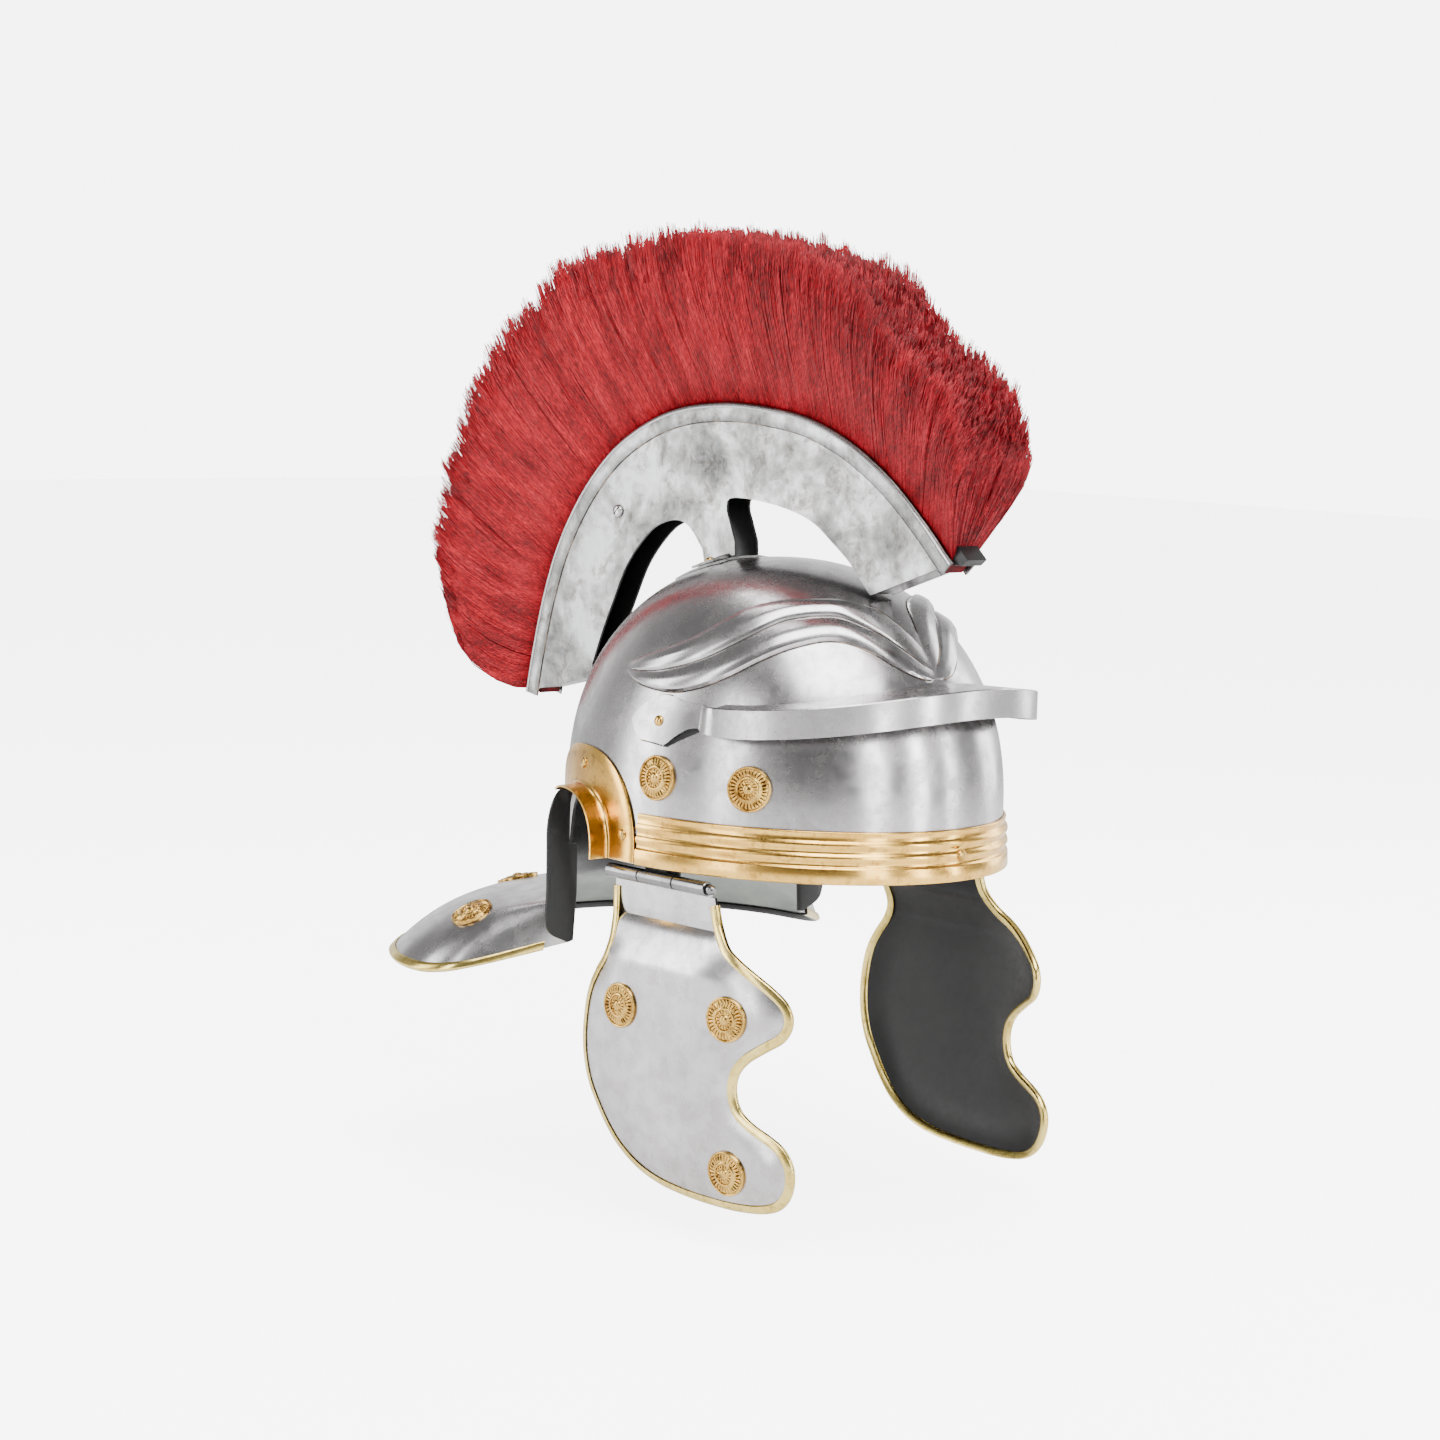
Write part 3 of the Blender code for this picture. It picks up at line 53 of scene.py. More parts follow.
# Sizes below are in millimetres; a mesh is scaled to metres when it is made
HALF_LENGTH, HALF_WIDTH, BOWL_HEIGHT, WIDEST = 115.0, 93.5, 139.8, 26.9
RIM_SHARE, RISE_POWER, ROUND_POWER = 1.007, 2.204, 2.15
# Clearance under a piece that lies on the bowl
GAP = 0.3
SHEET = 1.5
BROW_RELIEF = 3.6
CREASE_HALF, PLATE_LINE_HALF = 0.36, 0.8
BAND_HEIGHT, BAND_PROUD, BAND_END = 24.0, 2.4, -2.0
VISOR_HALF_WIDTH, VISOR_REACH, VISOR_POWER = 98.0, 127.0, 2.3
VISOR_FRONT, VISOR_SIDE, VISOR_SHEET = 89.0, 77.5, 1.4
VISOR_DROP, VISOR_END_DROP, VISOR_ARC, BEND_STATIONS = 13.5, 12.2, 71.5, 4
EAR_MIDDLE, EAR_ARCH_LENGTH, EAR_ARCH_HEIGHT, EAR_POWER = 47.0, 27.0, 30.0, 2.4
EAR_PLATE_MIDDLE, EAR_PLATE_LENGTH, EAR_PLATE_HEIGHT = 45.5, 45.5, 50.0
EAR_STAND_OUT, EAR_SHEET, EAR_WALL_END, EAR_FILLET = 12.0, 1.0, 61.6, 3.0
EAR_CUT_MIDDLE, EAR_CUT_LENGTH, EAR_CUT_HEIGHT = 43.5, 21.5, 27.5
NECK_FRONT, NAPE_DROP, NAPE_TUCK = 63.2, 52.8, 3.0
HINGE_X, HINGE_Z, KNUCKLE_RADIUS = 91.0, -5.5, 3.3
CHEEK_HEIGHT, CHEEK_LENGTH, CHEEK_TOP, CHEEK_DOME = 140.5, 142.0, -9.4, 9.5
CHEEK_SHEET, HINGE_STRIP, CHEEK_DISH, CHEEK_DISH_WIDTH = 1.4, 16.0, 3.0, 17.0
CREST_HALF_WIDTH, CREST_SHEET = 8.0, 1.2
# A place that the crest lies around, y and z
CREST_MIDDLE = np.array([45.0, 60.0])
# Middle of the fan that the hair spreads from, y and z
FAN = (45.0, 78.0)
# How far the hair sags at the rear
HAIR_SAG = 8.0

# Degrees from the front; lower edge, groove and upper edge of a brow; relief as a share
BROW_LINES = (
    (0.0, 91.0, 94.0, 103.0, 0.0), (3.0, 90.5, 96.5, 111.0, 0.12), (7.5, 91.6, 101.5, 118.0, 0.26),
    (15.0, 96.5, 109.3, 122.6, 0.52), (22.5, 102.8, 113.7, 123.9, 0.82),
    (30.0, 106.5, 116.9, 124.1, 1.0), (37.5, 107.1, 117.2, 123.9, 1.0),
    (45.0, 105.1, 116.3, 123.6, 1.0), (52.5, 101.6, 114.2, 123.0, 1.0), (60.0, 96.2, 109.6, 121.6, 1.0),
    (67.5, 89.5, 103.5, 118.6, 1.0), (75.0, 83.9, 97.2, 112.5, 1.0), (82.5, 80.7, 92.5, 105.1, 1.0),
    (90.0, 80.7, 89.2, 100.0, 0.9), (97.5, 82.5, 87.8, 95.8, 0.6), (105.0, 86.5, 88.0, 91.0, 0.0),
)


def smoothstep(t):
    t = np.clip(t, 0.0, 1.0)
    return t * t * (3.0 - 2.0 * t)


def unit(v):
    return v / np.linalg.norm(v, axis=-1, keepdims=True)


def spline(points, count):
    """Points of a smooth curve through the given ones, evenly spaced along it."""
    points = np.asarray(points, float)
    points = np.vstack([2 * points[0] - points[1], points, 2 * points[-1] - points[-2]])
    t = np.linspace(0, 1, 12, endpoint=False)[:, None]
    fine = []
    for k in range(len(points) - 3):
        p0, p1, p2, p3 = points[k : k + 4]
        square, cube = 2 * p0 - 5 * p1 + 4 * p2 - p3, 3 * p1 - p0 - 3 * p2 + p3
        fine.append(0.5 * (2 * p1 + (p2 - p0) * t + square * t**2 + cube * t**3))
    fine = np.vstack(fine + [points[-2][None]])
    steps = np.linalg.norm(np.diff(fine, axis=0), axis=1)
    lengths = np.concatenate([[0.0], np.cumsum(steps)])
    at = np.linspace(0, lengths[-1], count)
    return np.stack([np.interp(at, lengths, fine[:, c]) for c in range(fine.shape[1])], axis=1)


def curve_table(rows):
    """Interpolates every column of a table smoothly over its first column."""
    rows = np.asarray(rows, float)
    xs = rows[:, 0]

    def value(x, column):
        x = np.clip(np.asarray(x, float), xs[0], xs[-1])
        ys = rows[:, column]
        slopes = np.gradient(ys, xs)
        k = np.clip(np.searchsorted(xs, x) - 1, 0, len(xs) - 2)
        h = xs[k + 1] - xs[k]
        t = (x - xs[k]) / h
        a, b = ys[k], ys[k + 1]
        m, n = slopes[k] * h, slopes[k + 1] * h
        return (
            (2 * t**3 - 3 * t**2 + 1) * a
            + (t**3 - 2 * t**2 + t) * m
            + (3 * t**2 - 2 * t**3) * b
            + (t**3 - t**2) * n
        )

    return value


def share_at(z):
    """Bowl's radius at height z as a share of its half width and half length."""
    z = np.asarray(z, float)
    below = np.clip((WIDEST - z) / WIDEST, 0.0, None)
    low = 1.0 - (1.0 - RIM_SHARE) * below**2
    t = np.clip((z - WIDEST) / (BOWL_HEIGHT - WIDEST), 0.0, 1.0)
    high = np.clip(1.0 - t**RISE_POWER, 0.0, 1.0) ** (1.0 / ROUND_POWER)
    return np.where(z < WIDEST, low, high)


def height_at(share):
    """Height at which the bowl's radius has shrunk to the given share."""
    inside = np.clip(1.0 - np.clip(share, 0.0, 1.0) ** ROUND_POWER, 0.0, 1.0)
    return WIDEST + (BOWL_HEIGHT - WIDEST) * inside ** (1.0 / RISE_POWER)


def bowl_normal(points):
    points = np.asarray(points, float)
    x, y, z = points[..., 0], points[..., 1], points[..., 2]
    low, high = np.clip(z - 0.2, 0.0, None), np.clip(z + 0.2, None, BOWL_HEIGHT)
    slope = (share_at(high) ** 2 - share_at(low) ** 2) / (high - low)
    n = np.stack([2 * x / HALF_WIDTH**2, 2 * y / HALF_LENGTH**2, -slope], axis=-1)
    return unit(n)


def bowl_point(degrees, z, out=0.0):
    """Point at an angle from the front towards the wearer's left, out from the outer face."""
    turn, z = np.radians(degrees), np.asarray(z, float)
    share = share_at(z)
    p = np.stack(
        [HALF_WIDTH * share * np.sin(turn), -HALF_LENGTH * share * np.cos(turn), z + 0 * turn],
        axis=-1,
    )
    return p + bowl_normal(p) * np.asarray(out, float)[..., None]


def bowl_side(side, y, z, out=0.0):
    y, z = np.asarray(y, float), np.asarray(z, float)
    x = side * HALF_WIDTH * np.sqrt(np.clip(share_at(z) ** 2 - (y / HALF_LENGTH) ** 2, 0, None))
    p = np.stack([x, y + 0 * z, z + 0 * y], axis=-1)
    return p + bowl_normal(p) * np.asarray(out, float)[..., None]


def bowl_top(x, y, out=0.0):
    x, y = np.asarray(x, float), np.asarray(y, float)
    z = height_at(np.hypot(x / HALF_WIDTH, y / HALF_LENGTH))
    p = np.stack([x, y, z], axis=-1)
    return p + bowl_normal(p) * np.asarray(out, float)[..., None]


# Materials


class Nodes:
    """Short calls for building the nodes of a material or of the world."""

    def __init__(self, owner):
        self.owner = owner
        owner.use_nodes = True
        self.tree = owner.node_tree
        self.shader = self.tree.nodes.get("Principled BSDF")

    def put(self, socket, value):
        if isinstance(value, bpy.types.NodeSocket):
            self.tree.links.new(value, socket)
        else:
            socket.default_value = value

    def set(self, **values):
        """Gives the shader's inputs constants or links."""
        for key, value in values.items():
            self.put(self.shader.inputs[key.replace("_", " ")], value)

    def node(self, kind, inputs=(), **settings):
        made = self.tree.nodes.new(kind)
        for key, value in settings.items():
            setattr(made, key, value)
        for key, value in dict(inputs).items():
            self.put(made.inputs[key], value)
        return made

    def place(self, scale=(1.0, 1.0, 1.0)):
        """Coordinates in metres in the row frame."""
        where = self.node("ShaderNodeTexCoord").outputs["Object"]
        return self.node("ShaderNodeMapping", {"Vector": where, "Scale": scale}).outputs[0]

    def noise(self, where, scale, detail=4.0, roughness=0.55, distortion=0.0):
        inputs = {"Vector": where, "Scale": scale, "Detail": detail}
        inputs.update({"Roughness": roughness, "Distortion": distortion})
        return self.node("ShaderNodeTexNoise", inputs).outputs["Fac"]

    def ramp(self, factor, *stops):
        """Colour, or a grey given as one number, between places on a factor."""
        made = self.node("ShaderNodeValToRGB", {"Fac": factor})
        ramp = made.color_ramp
        while len(ramp.elements) < len(stops):
            ramp.elements.new(0.5)
        for element, (at, color) in zip(ramp.elements, stops):
            element.position = at
            if not isinstance(color, tuple):
                color = (color, color, color)
            element.color = (*color, 1.0)
        return made.outputs["Color"]

    def mix(self, factor, a, b, blend="MIX"):
        made = self.node("ShaderNodeMix", {0: factor}, data_type="RGBA", blend_type=blend)
        for index, value in ((6, a), (7, b)):
            self.put(made.inputs[index], (*value, 1.0) if isinstance(value, tuple) else value)
        return made.outputs[2]

    def math(self, operation, a, b=0.0):
        return self.node("ShaderNodeMath", {0: a, 1: b}, operation=operation).outputs[0]

    def bump(self, height, strength, distance, normal=None):
        inputs = {"Height": height, "Strength": strength, "Distance": distance}
        if normal is not None:
            inputs["Normal"] = normal
        return self.node("ShaderNodeBump", inputs).outputs["Normal"]

    def painted_hollow_shade(self, base, share, distance, samples, *stops):
        """Painted shade: darkens a colour in the hollows of the surface."""
        made = self.node("ShaderNodeAmbientOcclusion", {"Distance": distance}, samples=samples)
        return self.mix(share, base, self.ramp(made.outputs["AO"], *stops), "MULTIPLY")


def steel_material(name, low, high):
    """Hand-polished steel with cloudy stains, small pits and fine scratches."""
    n = Nodes(bpy.data.materials.new(name))
    where = n.place()
    cloud = n.noise(where, 30.0, 5.0, 0.6, 0.3)
    stain = n.noise(where, 90.0, 6.0, 0.68, 0.3)
    spots = n.noise(where, 700.0, 3.0, 0.6)
    patch = n.noise(where, 21.0, 3.0, 0.5)
    base = n.ramp(cloud, (0.32, low), (0.68, high))
    base = n.mix(0.35, base, n.ramp(stain, (0.40, (0.55, 0.52, 0.50)), (0.56, 1.0)), "MULTIPLY")
    pits = n.ramp(spots, (0.29, 0.0), (0.35, 1.0))
    clean = n.math("MAXIMUM", pits, n.ramp(patch, (0.58, 1.0), (0.66, 0.0)))
    base = n.mix(clean, (0.16, 0.12, 0.10), base)
    # Painted shade: the colour darkens where the surface lies in a hollow, as round the end plates and
    # in creases
    base = n.painted_hollow_shade(base, 0.8, 0.0022, 6, (0.30, (0.16, 0.13, 0.12)), (0.72, 1.0))
    rough = n.ramp(stain, (0.36, 0.28), (0.62, 0.19))
    rough = n.math("ADD", rough, n.math("MULTIPLY", cloud, 0.05))
    streak = n.noise(n.place((1.0, 1.0, 18.0)), 190.0, 3.0, 0.6)
    bump = n.bump(patch, 0.05, 0.002, n.bump(streak, 0.03, 0.0003))
    n.set(Metallic=1.0, Base_Color=base, Roughness=rough, Normal=bump)
    return n.owner


def crest_material():
    """Dull grey sheet, clouded and stained, with scattered grime."""
    n = Nodes(bpy.data.materials.new("dull crest steel"))
    where = n.place()
    cloud = n.noise(where, 34.0, 7.0, 0.68, 0.25)
    grain = n.noise(where, 160.0, 5.0, 0.6)
    spots = n.noise(where, 75.0, 6.0, 0.75, 0.5)
    tones = ((0.37, (0.12, 0.122, 0.12)), (0.50, (0.24, 0.24, 0.235)), (0.60, (0.40, 0.405, 0.41)))
    stain = n.ramp(spots, (0.38, (0.45, 0.40, 0.35)), (0.47, 1.0))
    base = n.mix(0.7, n.ramp(cloud, *tones), stain, "MULTIPLY")
    # Painted shade: the colour darkens in hollows, as along the folded strip's step
    base = n.painted_hollow_shade(base, 0.8, 0.002, 6, (0.35, (0.25, 0.20, 0.16)), (0.80, 1.0))
    bump = n.bump(cloud, 0.10, 0.0012, n.bump(grain, 0.08, 0.0003))
    rough = n.ramp(cloud, (0.35, 0.42), (0.65, 0.28))
    n.set(Metallic=1.0, Base_Color=base, Roughness=rough, Normal=bump)
    return n.owner


def brass_material(name, light, deep, dirty=0.35, shaded=0.5, painted_hollow_shade=0.0016):
    """Polished brass with darker tarnish in blotches; its hollows are darkened, partly as tarnish and
    partly as painted shade.
    """
    n = Nodes(bpy.data.materials.new(name))
    where = n.place()
    cloud = n.noise(where, 60.0, 5.0, 0.6, 0.5)
    spots = n.noise(where, 260.0, 4.0, 0.65)
    dirt = n.ramp(spots, (0.36, (0.22, 0.13, 0.06)), (0.46, 1.0))
    base = n.mix(dirty, n.ramp(cloud, (0.30, deep), (0.62, light)), dirt, "MULTIPLY")
    # Painted shade, with tarnish: darker in the hollows
    base = n.painted_hollow_shade(base, shaded, painted_hollow_shade, 8, (0.35, (0.30, 0.18, 0.08)), (0.75, 1.0))
    rough = n.ramp(cloud, (0.3, 0.28), (0.7, 0.18))
    n.set(Metallic=1.0, Base_Color=base, Roughness=rough, Normal=n.bump(spots, 0.08, 0.0003))
    return n.owner


def coat_material(name, clouds, grains, tones, rough, bump, **looks):
    """Paint or unpolished sheet: two tones in clouds, and a fine grain."""
    n = Nodes(bpy.data.materials.new(name))
    where = n.place()
    cloud = n.noise(where, *clouds)
    grain = n.noise(where, grains, 3.0, 0.6)
    n.set(Base_Color=n.ramp(cloud, (0.3, tones[0]), (0.7, tones[1])), **looks)
    n.set(Roughness=n.ramp(grain, (0.3, rough[0]), (0.7, rough[1])), Normal=n.bump(grain, bump, 0.0003))
    return n.owner


def crease_material():
    """Painted shade for creases, gaps and seams: near black, with the tarnish that the polishing leaves
    there, brown in places.
    """
    n = Nodes(bpy.data.materials.new("crease shade and tarnish"))
    cloud = n.noise(n.place(), 90.0, 3.0, 0.6)
    tones = ((0.40, (0.030, 0.026, 0.024)), (0.52, (0.07, 0.05, 0.038)), (0.64, (0.26, 0.20, 0.15)))
    rough = n.ramp(cloud, (0.3, 0.55), (0.7, 0.40))
    n.set(Metallic=0.6, Base_Color=n.ramp(cloud, *tones), Roughness=rough)
    return n.owner


def hair_material(name, dark, middle, light, gloss=0.35):
    """Dyed hair: fine streaks along the strands in a fan round the crest."""
    n = Nodes(bpy.data.materials.new(name))
    where = n.node("ShaderNodeTexCoord").outputs["Object"]
    parts = n.node("ShaderNodeSeparateXYZ", {"Vector": where}).outputs
    y = n.math("SUBTRACT", parts["Y"], FAN[0] * 0.001)
    z = n.math("SUBTRACT", parts["Z"], FAN[1] * 0.001)
    angle = n.math("ARCTAN2", z, y)
    radius = n.math("SQRT", n.math("ADD", n.math("MULTIPLY", y, y), n.math("MULTIPLY", z, z)))
    across, along = n.math("MULTIPLY", parts["X"], 5.0), n.math("MULTIPLY", radius, 0.8)
    fan = n.node("ShaderNodeCombineXYZ", {"X": angle, "Y": along, "Z": across}).outputs[0]
    fine = n.noise(fan, 260.0, 2.0, 0.6)
    lock = n.noise(fan, 16.0, 3.0, 0.6, 0.4)
    blend = n.math("ADD", n.math("MULTIPLY", fine, 0.62), n.math("MULTIPLY", lock, 0.38))
    color = n.ramp(blend, (0.37, dark), (0.50, middle), (0.65, light))
    # The fan deepens in colour from the rear to the front
    tones = ((0.25, 1.0), (0.55, (0.84, 0.75, 0.80)), (0.78, (0.74, 0.70, 0.78)))
    color = n.mix(1.0, color, n.ramp(n.math("DIVIDE", angle, math.pi), *tones), "MULTIPLY")
    n.set(Metallic=0.0, IOR=1.5, Base_Color=color, Roughness=0.48, Specular_IOR_Level=gloss)
    return n.owner


STEEL = steel_material("polished steel", (0.46, 0.445, 0.45), (0.59, 0.575, 0.58))
DARK_STEEL = steel_material("dark polished steel", (0.16, 0.16, 0.165), (0.27, 0.27, 0.275))
CREST_STEEL = crest_material()
BRASS = brass_material("brass", (0.92, 0.56, 0.13), (0.68, 0.37, 0.07))
# Ear brass: strong painted shade in the fillet and hollows, which also stands for the tarnish at the
# wall's root
EAR_BRASS = brass_material("ear brass", (0.88, 0.52, 0.11), (0.62, 0.33, 0.06), 0.4, 0.95, 0.0055)
# Gilt brass: full painted shade round the rivets' heads and in the rosettes' flutes
GILT = brass_material("gilt brass", (0.74, 0.47, 0.12), (0.36, 0.19, 0.04), 0.7, 1.0, 0.0014)
TRIM_BRASS = brass_material("trim brass", (0.84, 0.66, 0.22), (0.58, 0.42, 0.10))
# Satin paint on the inside, brushed on and worn a little. The same black also serves as painted shade
# in gaps, in the hinge's splits and under the neck binding
BLACK = coat_material(
    "black paint and painted shade", (35.0, 5.0, 0.6), 500.0, ((0.004, 0.004, 0.0045), (0.011, 0.010, 0.010)),
    (0.44, 0.34), 0.12, Metallic=0.0, Specular_IOR_Level=0.30,
)
CREASE = crease_material()
# The neck guard's unpolished under side
UNDER = coat_material(
    "dark steel", (30.0, 5.0, 0.6, 0.5), 300.0, ((0.17, 0.185, 0.17), (0.28, 0.30, 0.27)),
    (0.36, 0.28), 0.08, Metallic=1.0,
)
HAIR_REAR = hair_material(
    "red hair, rear", (0.12, 0.0003, 0.002), (0.34, 0.0006, 0.007), (0.66, 0.016, 0.032)
)
HAIR_FRONT = hair_material(
    "red hair, front", (0.08, 0.0002, 0.002), (0.27, 0.0005, 0.006), (0.58, 0.014, 0.028)
)
# Painted shade: a far darker red for the hair's inner body, where shade lies deep among the strands
HAIR_CORE_SHADE = hair_material(
    "red hair, core in painted shade", (0.03, 0.0002, 0.001), (0.10, 0.0004, 0.003), (0.22, 0.002, 0.008), 0.1
)


# Meshes


def linked(name, data):
    made = bpy.data.objects.new(name, data)
    bpy.context.scene.collection.objects.link(made)
    return made


def dressed(name, mesh, looks, body="helmet", stands_for=()):
    """Puts a mesh in the scene with its looks, on its body of the frame."""
    for look in looks:
        mesh.materials.append(look)
    mesh.shade_smooth()
    made = linked(name, mesh)
    if body:
        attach(made, body)
    if stands_for:
        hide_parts(*stands_for)
    return made


def piece(name, shape, looks, body="helmet", stands_for=(), sharp=32.0):
    """Mesh piece from points in millimetres, faces and, with several looks, each face's."""
    name = "fine_" + name.replace(" ", "_")
    verts, faces, *which = shape
    mesh = bpy.data.meshes.new(name)
    places = (np.asarray(verts, float) * 0.001).tolist()
    mesh.from_pydata(places, [], [tuple(map(int, f)) for f in faces])
    if which:
        mesh.polygons.foreach_set("material_index", np.asarray(which[0], np.int32))
    bm = bmesh.new()
    bm.from_mesh(mesh)
    bmesh.ops.remove_doubles(bm, verts=bm.verts, dist=1e-6)
    bmesh.ops.recalc_face_normals(bm, faces=bm.faces)
    bm.to_mesh(mesh)
    bm.free()
    made = dressed(name, mesh, looks, body, stands_for)
    mesh.set_sharp_from_angle(angle=math.radians(sharp))
    return made


def grid_faces(rows, columns, base=0, wrap=False, flip=False):
    faces = []
    spans = rows if wrap else rows - 1
    for i in range(spans):
        j = (i + 1) % rows
        for k in range(columns - 1):
            face = (i * columns + k, i * columns + k + 1, j * columns + k + 1, j * columns + k)
            faces.append(tuple(base + v for v in (face[::-1] if flip else face)))
    return faces


def loft(rings, closed_path=False):
    """Body whose cross-sections are closed loops with the same number of points."""
    rings = np.asarray(rings, float)
    total, count = rings.shape[:2]
    faces = []
    for i in range(total if closed_path else total - 1):
        j = (i + 1) % total
        for k in range(count):
            n = (k + 1) % count
            faces.append((i * count + k, i * count + n, j * count + n, j * count + k))
    if not closed_path:
        faces.append(tuple(range(count)))
        faces.append(tuple(reversed(range((total - 1) * count, total * count))))
    return rings.reshape(-1, 3), faces


def skins(outer, inner):
    """Closed sheet between two grids; gives vertices, faces and each face's side:
    0 outer, 1 inner, 2 edge."""
    rows, columns = outer.shape[:2]
    base = rows * columns
    verts = np.vstack([outer.reshape(-1, 3), inner.reshape(-1, 3)])
    front = grid_faces(rows, columns)
    back = grid_faces(rows, columns, base, flip=True)
    rim = list(range(columns))
    rim += [i * columns + columns - 1 for i in range(1, rows)]
    rim += [(rows - 1) * columns + j for j in range(columns - 2, -1, -1)]
    rim += [i * columns for i in range(rows - 2, 0, -1)]
    edge = [(a, b, base + b, base + a) for a, b in zip(rim, rim[1:] + rim[:1])]
    which = [0] * len(front) + [1] * len(back) + [2] * len(edge)
    return verts, front + back + edge, which


def grid_normals(grid):
    return unit(np.cross(np.gradient(grid, axis=0), np.gradient(grid, axis=1)))


def cut(base, cutter):
    """Cuts one piece's mesh by another object, which is then removed."""
    change = base.modifiers.new("cut", "BOOLEAN")
    change.operation = "DIFFERENCE"
    change.solver = "EXACT"
    change.object = cutter
    graph = bpy.context.evaluated_depsgraph_get()
    mesh = bpy.data.meshes.new_from_object(base.evaluated_get(graph))
    base.modifiers.clear()
    base.data = mesh
    bpy.data.objects.remove(cutter, do_unlink=True)
    mesh.shade_smooth()
    mesh.set_sharp_from_angle(angle=math.radians(32.0))


def arch(length, height, middle, turn):
    along, up = np.cos(turn), np.sin(turn)
    power = 2.0 / EAR_POWER
    y = middle - length * np.copysign(np.abs(along) ** power, along)
    return y, height * np.abs(up) ** power


brow = curve_table(BROW_LINES)
# Height of a roll over a brow's relief: below the groove, then above it
LOWER_ROLL = ([0, 0.07, 0.2, 0.45, 0.8, 0.92, 1.0], [0, 0.62, 0.90, 1.0, 0.66, 0.52, 0.25])
UPPER_ROLL = ([0, 0.08, 0.18, 0.45, 0.75, 0.93, 1.0], [0.25, 0.62, 0.78, 1.0, 0.84, 0.60, 0.0])


def brow_relief(degrees, z):
    """How far the embossed brows stand out: two rolls with a crisp crease between them."""
    away = np.abs(degrees)
    low, groove, top = brow(away, 1), brow(away, 2), brow(away, 3)
    rise = np.clip(brow(away, 4), 0.0, 1.0) * BROW_RELIEF
    rise = np.where(away > BROW_LINES[-1][0], 0.0, rise)
    u = (z - low) / (groove - low)
    v = (z - groove) / (top - groove)
    lower, upper = np.interp(u, *LOWER_ROLL), np.interp(v, *UPPER_ROLL)
    profile = np.where(v > 0, np.where(v > 1, 0.0, upper), np.where(u < 0, 0.0, lower))
    return rise * profile


def skull_bowl():
    """Bowl with its brows embossed through the sheet and the ears cut out."""
    columns, crown_rows = 320, 26
    degrees = -180.0 + 360.0 * np.arange(columns) / columns
    away = np.abs(degrees)
    low, groove, top = brow(away, 1), brow(away, 2), brow(away, 3)
    lower, upper = groove - low, top - groove
    # Heights from the rim upwards, and the number of rows up to each
    stops = (
        (low - 3.0, 22), (low, 2), (low + 0.07 * lower, 1), (low + 0.5 * lower, 4),
        (groove - 0.08 * lower, 4), (groove, 2), (groove + 0.10 * upper, 2),
        (groove + 0.5 * upper, 5), (top - 0.07 * upper, 5), (top, 1), (top + 1.0, 1),
    )
    rows, last = [], 0.0 * low
    for stop, steps in stops:
        rows += [last + (stop - last) * k / steps for k in range(steps)]
        last = stop
    share = share_at(last)
    rows += [height_at(share * (1 - k / crown_rows)) for k in range(crown_rows)]
    z = np.stack(rows, axis=1)
    spin = np.repeat(degrees[:, None], z.shape[1], axis=1)
    relief = brow_relief(spin, z)
    relief = (relief + np.roll(relief, 1, 0) + np.roll(relief, -1, 0)) / 3.0
    count = z.shape[1]
    base = columns * count
    apex = 2 * base
    verts = [bowl_point(spin, z, out).reshape(-1, 3) for out in (relief, relief - SHEET)]
    verts.append(np.array([[0, 0, BOWL_HEIGHT], [0, 0, BOWL_HEIGHT - SHEET]]))
    faces = grid_faces(columns, count, wrap=True)
    which = [0] * len(faces) + [1] * len(faces)
    faces += grid_faces(columns, count, base, wrap=True, flip=True)
    for i in range(columns):
        j = (i + 1) % columns
        a, b = i * count + count - 1, j * count + count - 1
        faces += [(a, b, apex), (base + b, base + a, apex + 1)]
        faces.append((i * count, j * count, base + j * count, base + i * count))
        which += [0, 1, 0]
    shape = (np.vstack(verts), faces, which)
    made = piece("bowl", shape, [STEEL, BLACK], stands_for=["skull_bowl"])
    for side in SIDES.values():
        y, z = arch(EAR_CUT_LENGTH, EAR_CUT_HEIGHT, EAR_CUT_MIDDLE, np.pi * np.arange(49) / 48)
        z[0] = z[-1] = -5.0
        verts, faces = loft([np.stack([0 * y + x, y, z], axis=1) for x in (60 * side, 110 * side)])
        cut(made, piece("ear cutter", (verts, faces, [1] * len(faces)), [STEEL, BLACK], body=None))


def dark_line(name, middle, half):
    """Thin dark line of painted shade on the bowl, half as wide to each side as given."""
    normal = bowl_normal(middle)
    across = unit(np.cross(np.gradient(middle, axis=0), normal))
    rings = []
    for p, a, n in zip(middle, across, normal):
        rings.append([p - a * half, p + n * 0.06, p + a * half, p - n * 0.35])
    piece(name, loft(rings), [CREASE])


def brow_creases(name, side):
    """Dark lines of painted shade, with tarnish, at the foot, in the groove and along the top of an
    embossed brow.
    """
    away = np.linspace(3.0, 101.0, 150)
    degrees = side * away
    for line, label in ((1, "foot"), (2, "groove"), (3, "top")):
        z = brow(away, line)
        out = brow_relief(degrees, z) if line == 2 else 0.0
        dark_line(f"brow {label} {name}", bowl_point(degrees, z, out + 0.25), CREASE_HALF)


